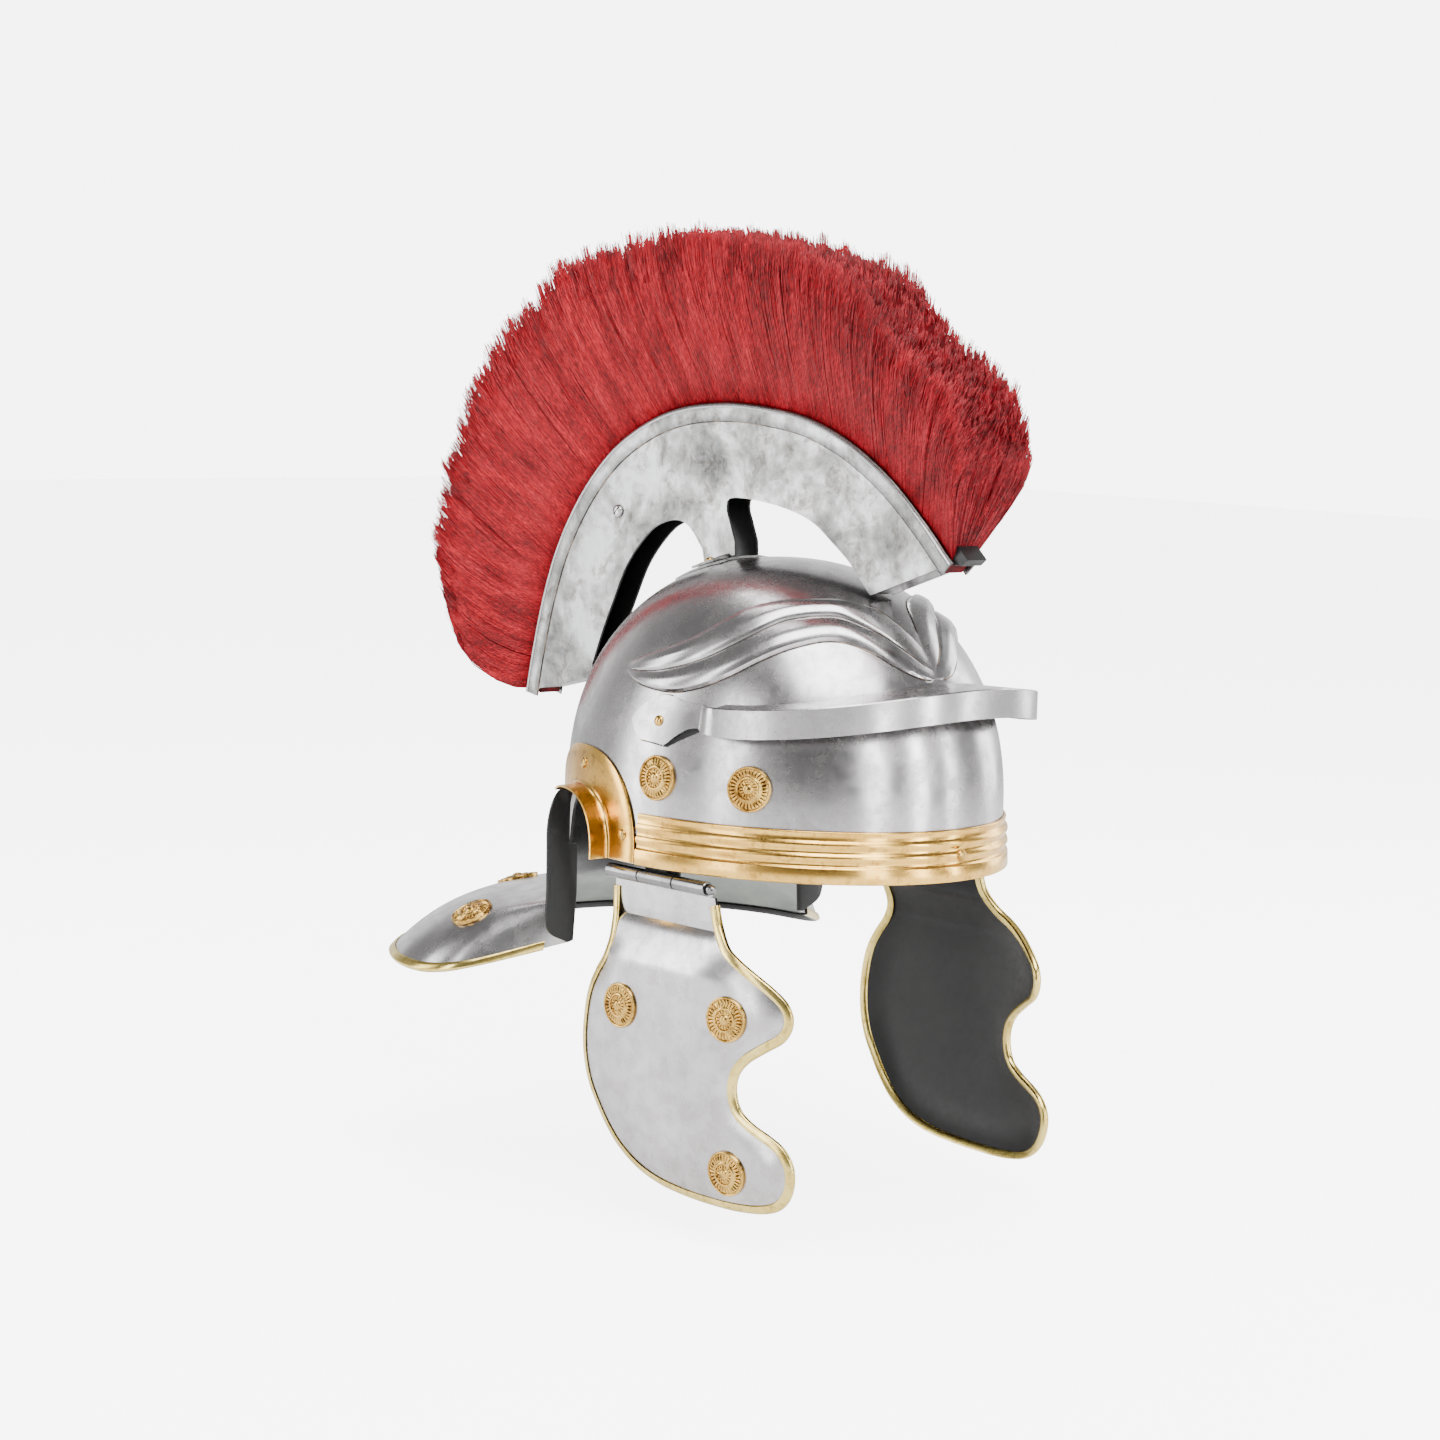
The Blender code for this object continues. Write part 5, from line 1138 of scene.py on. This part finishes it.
def crest_box():
    """Two plates with a rolled strip along their outer edges and a web between them."""
    outer, inner = crest_loops()
    inward = crest_inward(outer)
    points, tris = fill(np.vstack([outer, inner[::-1]]), 4.0, 1.6)
    half = CREST_HALF_WIDTH - CREST_SHEET
    for name, side in SIDES.items():
        planes = [np.full(len(points), side * x) for x in (CREST_HALF_WIDTH, half)]
        shape = plate(points, tris, *[np.column_stack([x, points]) for x in planes])
        stands_for = ["crest_box"] if side < 0 else []
        piece("crest plate " + name, shape, [CREST_STEEL, BLACK], stands_for=stands_for)
        # Folded strip; a dark seam of painted shade against its inner edge; and along its outer edge a
        # bead in lighter polished steel, whose colour is a painted highlight
        for part, section, look, sharp in (
            ("strip", STRIP_SECTION, CREST_STEEL, 40.0),
            ("seam", SEAM_SECTION, CREASE, 32.0),
            ("bead", CROWN_SECTION, STEEL, 32.0),
        ):
            rings = []
            for p, way in zip(outer, inward):
                rings.append([(side * (CREST_HALF_WIDTH + b), *(p + way * a)) for a, b in section])
            piece(f"crest {part} {name}", loft(rings), [look], sharp=sharp)
        crest_foot(name, side)
    rings = []
    for p, way in zip(outer[6:-6], inward[6:-6]):
        a, b = p + way * 9.0, p + way * 10.0
        rings.append([(-half, *a), (half, *a), (half, *b), (-half, *b)])
    piece("crest web", loft(rings), [BLACK])
    # Steel that closes the box at both ends
    for label, k in (("rear", 0), ("front", -1)):
        p, span = outer[k], inner[k] - outer[k]
        off = unit(np.array([span[1], -span[0]]))
        off = off * (1.0 if np.dot(off, p - outer[75]) < 0 else -1.0)
        near, far = p + span * 0.06, p + span * 0.97
        corners = (near, far, far + off * CREST_SHEET, near + off * CREST_SHEET)
        rings = [[(x, *c) for c in corners] for x in (-half, half)]
        piece("crest end " + label, loft(rings), [CREST_STEEL])
    ahead = np.array([-0.72, -0.69])
    block = [outer[-1] + inward[-1] * low + ahead * forward for low, forward in BLOCK_SECTION]
    rings = [[(x, *p) for p in block] for x in (-6.5, 6.5)]
    piece("crest end block", loft(rings), [BLACK], sharp=30.0)


# Share of the foot's length that is bent; radius of the bend; top face's height; half width
FOOT_TURN, FOOT_RADIUS, FOOT_LIFT, FOOT_REACH = 0.4, 1.8, 3.0, 18.0


def crest_foot(name, side):
    """Foot that the strut bends out into, on its seat plate."""
    bent = CREST_HALF_WIDTH - CREST_SHEET / 2
    rings = []
    for t in np.linspace(0, 1, 9):
        if t < FOOT_TURN:
            turn = t / FOOT_TURN * math.pi / 2
            x = bent + FOOT_RADIUS * (1 - math.cos(turn))
            lift = FOOT_LIFT + FOOT_RADIUS * (1 - math.sin(turn))
        else:
            x = bent + FOOT_RADIUS
            x += (FOOT_REACH - x) * (t - FOOT_TURN) / (1 - FOOT_TURN)
            lift = FOOT_LIFT
        ring = [tuple(bowl_top(side * x, y, lift - CREST_SHEET)) for y in (48.0, 40.5, 33.0)]
        rings.append(ring + [tuple(bowl_top(side * x, y, lift)) for y in (33.0, 40.5, 48.0)])
    piece("crest foot " + name, loft(rings), [CREST_STEEL])


def crest_seat():
    y, x = np.meshgrid(np.linspace(27.0, 57.0, 13), np.linspace(-21.0, 21.0, 15), indexing="ij")
    verts, faces, _ = skins(bowl_top(x, y, GAP + 1.0), bowl_top(x, y, GAP))
    piece("crest seat", (verts, faces), [CREST_STEEL], stands_for=["crest_seat"])


# Hair's outer edge from the rear to the front: y, z
HAIR_EDGE = (
    (227.0, 89.8), (237.6, 112.2), (245.2, 136.7), (240.4, 157.1), (235.5, 174.7), (224.8, 196.4),
    (214.4, 220.0), (202.4, 235.5), (186.2, 249.4), (165.8, 263.6), (149.1, 277.9), (127.0, 282.6),
    (105.0, 287.0), (82.0, 290.9), (54.0, 295.0), (23.0, 292.9), (-5.0, 287.9), (-31.3, 282.2),
    (-54.2, 274.3), (-72.2, 258.1), (-88.4, 244.9), (-103.8, 235.4), (-118.1, 226.5), (-126.3, 211.4),
    (-129.8, 192.3),
)

# Hair's half thickness from the root to the tip: way, half thickness
HAIR_WIDTH = ((0.0, 6.3), (0.16, 10.5), (0.42, 17.5), (0.70, 23.0), (0.92, 24.0), (1.0, 22.0))


class Crest:
    """Root and tip lines of the hair, with smooth lookups along them."""

    def __init__(self):
        self.root = spline(CREST_OUTER, 400)
        self.tip = spline(HAIR_EDGE, 400)
        self.at = np.linspace(0, 1, 400)

    def line(self, points, share):
        share = np.clip(share, 0.0, 1.0)
        return np.stack([np.interp(share, self.at, points[:, c]) for c in (0, 1)], axis=-1)

    def point(self, share, way, width, length=1.0):
        """Places in the hair: share along the crest, way from the root, width -1 to 1."""
        root = self.line(self.root, 0.004 + 0.992 * share)
        tip = self.line(self.tip, share)
        reach = root + (tip - root) * (way * length)[..., None]
        sag = HAIR_SAG * np.clip(1.0 - share / 0.15, 0.0, None)
        bend = 4.0 * way * (1.0 - way) * sag
        half = np.interp(way * np.minimum(length, 1.0), *zip(*HAIR_WIDTH))
        x = width * half
        return np.stack([x, reach[..., 0] + 0.25 * bend, reach[..., 1] - bend], axis=-1)


def strands(name, paths, thick, look):
    """Closed tapered three-sided strands along paths of shape (strand, ring, 3)."""
    count, rings = paths.shape[:2]
    along = unit(np.gradient(paths, axis=1))
    side = unit(np.cross(along, np.array([0.31, 0.17, 0.93])))
    other = np.cross(along, side)
    taper = np.interp(np.linspace(0, 1, rings), [0, 0.6, 1.0], [1.0, 0.90, 0.42])
    radius = (thick[:, None] * taper[None, :])[..., None]
    spin = rng.uniform(0, 2 * np.pi, count)[:, None, None]
    verts = np.empty((count, rings, 3, 3))
    for c in range(3):
        turn = spin + c * 2 * np.pi / 3
        verts[:, :, c] = paths + radius * (side * np.cos(turn) + other * np.sin(turn))
    ring = []
    for i in range(rings - 1):
        for c in range(3):
            n = (c + 1) % 3
            ring.append((3 * i + c, 3 * i + n, 3 * i + 3 + n, 3 * i + 3 + c))
    last = 3 * (rings - 1)
    base = (np.arange(count) * rings * 3)[:, None, None]
    quads = (base + np.array(ring)[None]).reshape(-1, 4)
    ends = (base + np.array([(2, 1, 0), (last, last + 1, last + 2)])[None]).reshape(-1, 3)
    name = "fine_" + name.replace(" ", "_")
    mesh = bpy.data.meshes.new(name)
    points = (verts.reshape(-1, 3) * 0.001).astype(np.float32)
    mesh.vertices.add(len(points))
    mesh.vertices.foreach_set("co", points.ravel())
    loops = np.concatenate([quads.ravel(), ends.ravel()]).astype(np.int32)
    mesh.loops.add(len(loops))
    mesh.loops.foreach_set("vertex_index", loops)
    starts = [np.arange(len(quads)) * 4, len(quads) * 4 + np.arange(len(ends)) * 3]
    starts = np.concatenate(starts).astype(np.int32)
    mesh.polygons.add(len(starts))
    mesh.polygons.foreach_set("loop_start", starts)
    mesh.update(calc_edges=True)
    mesh.validate()
    dressed(name, mesh, [look])


def tufts(share, count, seed):
    """Lock that each strand belongs to: its middle along the crest and a random number."""
    local = np.random.default_rng(seed)
    edges = np.sort(local.uniform(0, 1, count - 1))
    edges = 0.6 * np.linspace(0, 1, count + 1)[1:-1] + 0.4 * edges
    lock = np.searchsorted(edges, share)
    ends = np.concatenate([[0.0], edges, [1.0]])
    return (ends[lock] + ends[lock + 1]) / 2, local.uniform(0, 1, count)[lock]


def hair_core(crest):
    """Body inside the hair, dark red as painted shade, rooted in the box's channel."""
    web = crest.root + crest_inward(crest.root) * 8.4
    rings = []
    for s in np.linspace(0, 1, 97):
        ring = [(6.5, *crest.line(web, 0.004 + 0.992 * s))]
        for way in (0.0, 0.04, 0.16, 0.42, 0.70, 0.84):
            x, y, z = crest.point(np.array(s), np.array(way), np.array(1.0))
            ring.append((max(6.3, x - 1.3), y, z))
        ring.append(tuple(crest.point(np.array(s), np.array(0.915), np.array(0.80))))
        rings.append(ring + [(-x, y, z) for x, y, z in ring[::-1]])
    piece("hair core", loft(rings), [HAIR_CORE_SHADE], stands_for=["crest_hair"], sharp=60.0)


# Shares of a strand's length at its rings
WAYS = np.linspace(0, 1, 6)


def hair_side(name, side, crest, many):
    """Combed strands of one side, in locks that draw together towards their tips."""
    s = rng.uniform(0, 1, many)
    middle, chance = tufts(s, 64, 21 + int(side))
    tip_middle, tip_chance = tufts(s, 230, 31 + int(side))
    layer = rng.uniform(0, 1, many)
    length = 0.965 + 0.05 * chance + 0.07 * (tip_chance - 0.5) - 0.20 * layer**3
    length += rng.normal(0, 0.008, many)
    lean = (chance - 0.5) * 0.010 + rng.normal(0, 0.0030, many)
    paths = np.empty((many, len(WAYS), 3))
    for k, w in enumerate(WAYS):
        at = s + (middle - s) * 0.10 * w**2 + (tip_middle - s) * 0.50 * w**4 + lean * w**1.5
        width = side * (1.0 + 0.03 * (tip_chance - 0.5) * w)
        paths[:, k] = crest.point(at, np.full(many, w), width, length)
        paths[:, k, 0] += side * (0.5 - 1.5 * layer) * (0.3 + 0.7 * w)
        paths[:, k] += rng.normal(0, 0.30, (many, 3)) * w
    paths[:, 0, 0] = side * np.minimum(np.abs(paths[:, 0, 0]), 6.5)
    strands("hair side " + name, paths, rng.uniform(0.22, 0.40, many), HAIR_REAR)


# Share of the hair's length where a cut end starts
CUT_START = 0.78


def hair_ends(part, crest, many, clusters):
    """Cut ends between the two sides, in small tufts."""
    centre = np.stack([rng.uniform(0, 1, clusters), rng.uniform(-1.0, 1.0, clusters)], axis=1)
    rise = rng.normal(0, 0.014, clusters)
    turn = rng.normal(0, 1.0, (clusters, 2))
    own = rng.integers(0, clusters, many)
    offset = rng.normal(0, 1.0, (many, 2)) * np.array([0.0032, 0.075])
    length = 0.985 + rise[own] + rng.normal(0, 0.009, many)
    length -= 0.030 * np.abs(centre[own, 1]) ** 4
    paths = np.empty((many, 4, 3))
    for k, w in enumerate((CUT_START, 0.86, 0.94, 1.0)):
        way = (w - CUT_START) / (1.0 - CUT_START)
        at, across = (centre[own] + offset * (1.0 - 0.55 * way)).T
        across = np.clip(across, -1.02, 1.02)
        paths[:, k] = crest.point(np.clip(at, 0, 1), np.full(many, w), across, length)
        paths[:, k, :2] += turn[own] * np.array([1.0, 1.1]) * way
        paths[:, k] += rng.normal(0, 0.22, (many, 3)) * way
    strands(f"hair ends {part}", paths, rng.uniform(0.26, 0.46, many), HAIR_FRONT)


def hair_at_ends(crest, many):
    """Hairs that close the fan at both ends of the crest."""
    end = rng.integers(0, 2, many)
    s = np.where(end == 0, np.abs(rng.normal(0, 0.012, many)), 1 - np.abs(rng.normal(0, 0.010, many)))
    width = rng.uniform(-1, 1, many)
    length = 1.0 - 0.20 * rng.uniform(0, 1, many) ** 1.6
    _, chance = tufts((width + 1) / 2, 14, 61)
    paths = np.empty((many, len(WAYS), 3))
    for k, w in enumerate(WAYS):
        paths[:, k] = crest.point(s, np.full(many, w), width, length - 0.04 * chance)
        paths[:, k, 1] += np.where(end == 0, 1.0, -1.0) * (0.4 + 1.6 * chance) * w
        paths[:, k] += rng.normal(0, 0.45, (many, 3)) * w
    strands("hair at ends", paths, rng.uniform(0.20, 0.36, many), HAIR_FRONT)


def crest_hair():
    """Fan of hair: a core dark with painted shade, combed strands on its sides and cut tips all round.
    """
    crest = Crest()
    hair_core(crest)
    for name, side in SIDES.items():
        hair_side(name, side, crest, 4800)
    for part in (1, 2):
        hair_ends(part, crest, 6600, 1250)
    hair_at_ends(crest, 1800)


# Rosettes and rivets


def axes(normal):
    n = unit(np.asarray(normal, float))
    a = unit(np.cross(n, np.array([0.0, 0.0, 1.0]) if abs(n[2]) < 0.9 else np.array([0.0, 1.0, 0.0])))
    return a, np.cross(n, a), n


def radial(name, seat, normal, radii, height, look, body="helmet", foot=-0.9, steps=96):
    """Round stamped head: height as a function of radius and angle, on a short skirt."""
    a, b, n = axes(normal)
    turn = np.linspace(0, 2 * np.pi, steps, endpoint=False)
    rings = [(r, height(r, turn) + 0 * turn) for r in radii] + [(radii[-1], foot + 0 * turn)]
    verts = []
    for r, lifts in rings:
        for t, lift in zip(turn, lifts):
            verts.append(seat + a * r * math.cos(t) + b * r * math.sin(t) + n * lift)
    faces = []
    for k in range(len(radii)):
        for i in range(steps):
            j = (i + 1) % steps
            faces.append((k * steps + i, k * steps + j, (k + 1) * steps + j, (k + 1) * steps + i))
    faces.append(tuple(range(steps)))
    faces.append(tuple(reversed(range(len(radii) * steps, len(rings) * steps))))
    return piece(name, (verts, faces), [look], body, [name], sharp=60.0)


def rosette_height(r, turn):
    """Rim ring, a field of fine radial flutes, two plain rings and a boss."""
    dome = 1.9 - 1.3 * (r / 10.5) ** 1.7

    def ring(middle, half, height):
        return height * math.sqrt(max(0.0, 1.0 - ((r - middle) / half) ** 2))

    def flutes(number, height, inner, width):
        flute = np.abs(np.cos(turn * number)) ** 0.7
        return (flute - 0.6) * height * math.sin(math.pi * (r - inner) / width) ** 0.5

    if r > 9.3:
        return ring(9.9, 0.62, 0.75) + 0.45
    if r > 6.0:
        return dome + flutes(15.0, 1.0, 6.0, 3.3)
    if r > 4.6:
        return dome + ring(5.3, 0.72, 0.55)
    if r > 2.5:
        return dome - 0.2 + flutes(7.5, 0.8, 2.5, 2.1)
    return dome + ring(0.0, 2.5, 1.1)


ROSETTE_RADII = (0.05, 1.2, 2.0, 2.4, 2.5, 2.8, 3.5, 4.3, 4.6, 4.8, 5.3, 5.8, 6.0)
ROSETTE_RADII += (6.3, 7.0, 7.8, 8.6, 9.2, 9.32, 9.5, 9.9, 10.3, 10.48, 10.5)


def rosette(name, seat, normal, body="helmet"):
    radial(name, seat, normal, ROSETTE_RADII, rosette_height, GILT, body=body, steps=120)


def rivet(name, seat, normal, size=1.0):
    radii = [2.6 * size * math.sin(a) + 0.02 for a in np.linspace(0, math.pi / 2, 9)]

    def height(r, turn):
        return 1.45 * size * math.sqrt(max(0.0, 1 - (r / (2.62 * size)) ** 2))

    radial(name, seat, normal, radii, height, GILT, foot=-0.5, steps=40)


def screw(name, side):
    """Slotted pan head on the crest plate."""
    seat = np.array([side * (CREST_HALF_WIDTH + 0.15), 115.0, 155.0])
    normal = np.array([side, 0.0, 0.0])
    radii = [0.05, 1.0, 1.8, 2.4, 2.8, 3.05, 3.2, 3.25]

    def height(r, turn):
        return 1.85 * (1 - (r / 3.3) ** 4) ** 0.5

    head = radial(name, seat, normal, radii, height, STEEL, foot=-0.3, steps=64)
    a, b, n = axes(normal)
    way = a * math.cos(0.9) + b * math.sin(0.9)
    across = np.cross(n, way)
    corner = [seat + way * u * 4.0 + across * v * 0.38 for u, v in ((-1, -1), (1, -1), (1, 1), (-1, 1))]
    rings = [[p + n * h for p in corner] for h in (0.95, 2.6)]
    cut(head, piece("slot cutter", loft(rings), [BLACK], body=None))


# Places of the heads: y, z; on the neck guard, share round to the rear and share down
BOWL_ROSETTES = ((-12.0, 41.5), (-59.5, 41.0))
CHEEK_ROSETTES = ((2.0, -66.02), (-66.03, -61.53), (-68.02, -132.06))
NECK_ROSETTES = ((0.33, 0.76), (0.785, 0.70))
BROW_RIVET = (-9.3, 67.1)
EAR_RIVETS = ((8.5, 12.6), (45.5, 41.5), (82.5, 12.6))


def lifted(seat, lift):
    """A place out from the bowl's face, and the direction there."""
    normal = bowl_normal(seat)
    return seat + normal * lift, normal


def studs():
    """Rosettes, rivets and screws on every part."""
    for name, side in SIDES.items():
        for k, place in enumerate(BOWL_ROSETTES, 1):
            rosette(f"bowl_rosette_{name}_{k}", *lifted(bowl_side(side, *place), GAP))
        for k, place in enumerate(CHEEK_ROSETTES, 1):
            seat = cheek_surface(side, *place, CHEEK_SHEET / 2 + GAP)
            rosette(f"cheek_rosette_{name}_{k}", *seat, "cheek_" + name)
        grid = neck_half(401, np.linspace(0, 1, 101)) * np.array([side, 1.0, 1.0])
        normals = grid_normals(grid)
        for k, (share, s) in enumerate(NECK_ROSETTES, 1):
            i, j = round(share * 400), round(s * 100)
            normal = normals[i, j] * (1 if normals[i, j, 2] > 0 else -1)
            rosette(f"neck_rosette_{name}_{k}", grid[i, j] + normal * (SHEET / 2), normal)
        rivet("brow_rivet_" + name, *lifted(bowl_side(side, *BROW_RIVET), GAP + VISOR_SHEET))
        for k, place in enumerate(EAR_RIVETS, 1):
            rivet(f"ear_rivet_{name}_{k}", *lifted(bowl_side(side, *place), GAP + EAR_SHEET))
        screw("crest_screw_" + name, side)
        rivet("foot_rivet_" + name, *lifted(bowl_top(side * 13.5, 40.5), FOOT_LIFT), size=0.9)
    rivet("band_rivet", bowl_point(0.0, 12.0, BAND_PROUD), np.array([0.0, -1.0, 0.0]))


# Set

# Direction of the bright backdrop, degrees from the front towards the wearer's left
BACKDROP_AZIMUTH = 136.5
# Brightness from behind the viewer to behind the object, and from below to above
ROUND_ABOUT = ((-1.0, 0.13), (-0.35, 0.17), (0.05, 0.30), (0.35, 0.24), (0.65, 0.38), (0.85, 1.0))
UP_AND_DOWN = ((-1.0, 0.5), (-0.05, 0.75), (0.1, 1.0), (0.35, 0.75), (0.7, 0.45), (1.0, 0.55))
# Strength of the room's light, and of the plain pale room that the camera sees
ROOM_LIGHT, ROOM_SEEN = 1.75, 6.5
FLOOR_GLOW, FLOOR_SEEN = 0.40, 5.0

# Tall soft lights: azimuth, height of the middle, width, height in metres, power in watts
STRIPS = (
    (-17.0, 0.35, 0.30, 1.2, 11.0), (12.0, 0.30, 0.16, 1.1, 11.0), (38.0, 0.30, 0.10, 1.1, 6.0),
    (-92.0, 0.45, 0.40, 1.3, 11.0), (-134.0, 0.40, 0.50, 1.2, 15.0), (85.0, 0.50, 0.60, 1.3, 13.0),
)


def floor_material():
    n = Nodes(bpy.data.materials.new("pale floor"))
    grain = n.noise(n.place(), 14.0, 3.0)
    seen = n.node("ShaderNodeLightPath").outputs["Is Camera Ray"]
    glow = n.math("ADD", FLOOR_GLOW, n.math("MULTIPLY", seen, FLOOR_SEEN))
    color = n.ramp(grain, (0.2, 0.86), (0.8, 0.90))
    n.set(Base_Color=color, Roughness=0.85, Emission_Color=(1.0, 1.0, 1.0, 1.0), Emission_Strength=glow)
    return n.owner


def soft_light(name, azimuth, height, distance, size, power):
    """Rectangular light that looks at the bowl's middle."""
    data = bpy.data.lights.new(name, "AREA")
    data.shape = "RECTANGLE"
    data.size, data.size_y = size
    data.energy = power
    light = linked(name, data)
    turn = math.radians(azimuth)
    light.location = (math.sin(turn) * distance, -math.cos(turn) * distance, height)
    way = light.location - Vector((0.0, 0.02, 0.06))
    light.rotation_euler = way.to_track_quat("Z", "Y").to_euler()


def world():
    """Pale cyclorama: bright behind the object, dimmer behind the viewer, even to the eye."""
    n = Nodes(bpy.data.worlds.new("soft room"))
    n.shader = n.tree.nodes["Background"]
    bpy.context.scene.world = n.owner

    def curve(value, stops):
        """Brightness between places on a value that runs from -1 to 1."""
        share = n.node("ShaderNodeMapRange", {"Value": value, "From Min": -1.0}).outputs["Result"]
        return n.ramp(share, *[((at + 1.0) / 2.0, level) for at, level in stops])

    where = n.node("ShaderNodeTexCoord").outputs["Generated"]
    parts = n.node("ShaderNodeSeparateXYZ", {"Vector": where}).outputs
    behind = math.radians(BACKDROP_AZIMUTH)
    across = n.math("MULTIPLY", parts["X"], math.sin(behind))
    along = n.math("ADD", across, n.math("MULTIPLY", parts["Y"], -math.cos(behind)))
    level = n.math("MULTIPLY", curve(along, ROUND_ABOUT), curve(parts["Z"], UP_AND_DOWN))
    level = n.math("MULTIPLY", level, ROOM_LIGHT)
    seen = n.node("ShaderNodeLightPath").outputs["Is Camera Ray"]
    dim = n.math("MULTIPLY", n.math("SUBTRACT", 1.0, seen), level)
    n.set(Color=(1.0, 1.0, 1.0, 1.0), Strength=n.math("ADD", n.math("MULTIPLY", seen, ROOM_SEEN), dim))


def stage():
    mesh = bpy.data.meshes.new("floor")
    size, z = 6.0, -0.167
    corners = [(-size, -size, z), (size, -size, z), (size, size, z), (-size, size, z)]
    mesh.from_pydata(corners, [], [(0, 1, 2, 3)])
    mesh.materials.append(floor_material())
    floor = linked("floor", mesh)
    world()
    for k, (azimuth, height, width, tall, power) in enumerate(STRIPS):
        soft_light(f"strip {k + 1}", azimuth, height, 1.6, (width, tall), power)
    soft_light("top", -32.0, 1.5, 0.75, (1.2, 1.2), 46.0)
    soft_light("top rear", 150.0, 1.6, 0.9, (0.8, 0.8), 20.0)


def camera():
    azimuth, roll = math.radians(-43.457), math.radians(1.822)
    back = Vector((-0.683, -0.721, 0.115)).normalized()
    level = Vector((math.cos(azimuth), math.sin(azimuth), 0.0))
    level = (level - back * level.dot(back)).normalized()
    rise = back.cross(level)
    right = level * math.cos(roll) + rise * math.sin(roll)
    up = rise * math.cos(roll) - level * math.sin(roll)
    data = bpy.data.cameras.new("camera")
    data.lens, data.sensor_width = 83.67, 36.0
    data.clip_start, data.clip_end = 0.05, 50.0
    made = linked("camera", data)
    turn = Matrix((right, up, back)).transposed().to_4x4()
    made.matrix_world = Matrix.Translation((-1.1181, -1.1352, 0.2452)) @ turn
    bpy.context.scene.camera = made


skull_bowl()
neck_guard()
neck_trim()
brow_guard()
rim_band()
crest_box()
crest_seat()
crest_hair()
for name, side in SIDES.items():
    brow_creases(name, side)
    brow_notch(name, side)
    plate_line(name, side)
    ear_guard(name, side)
    hinge(name, side)
    cheek_piece(name, side)
studs()
stage()
camera()
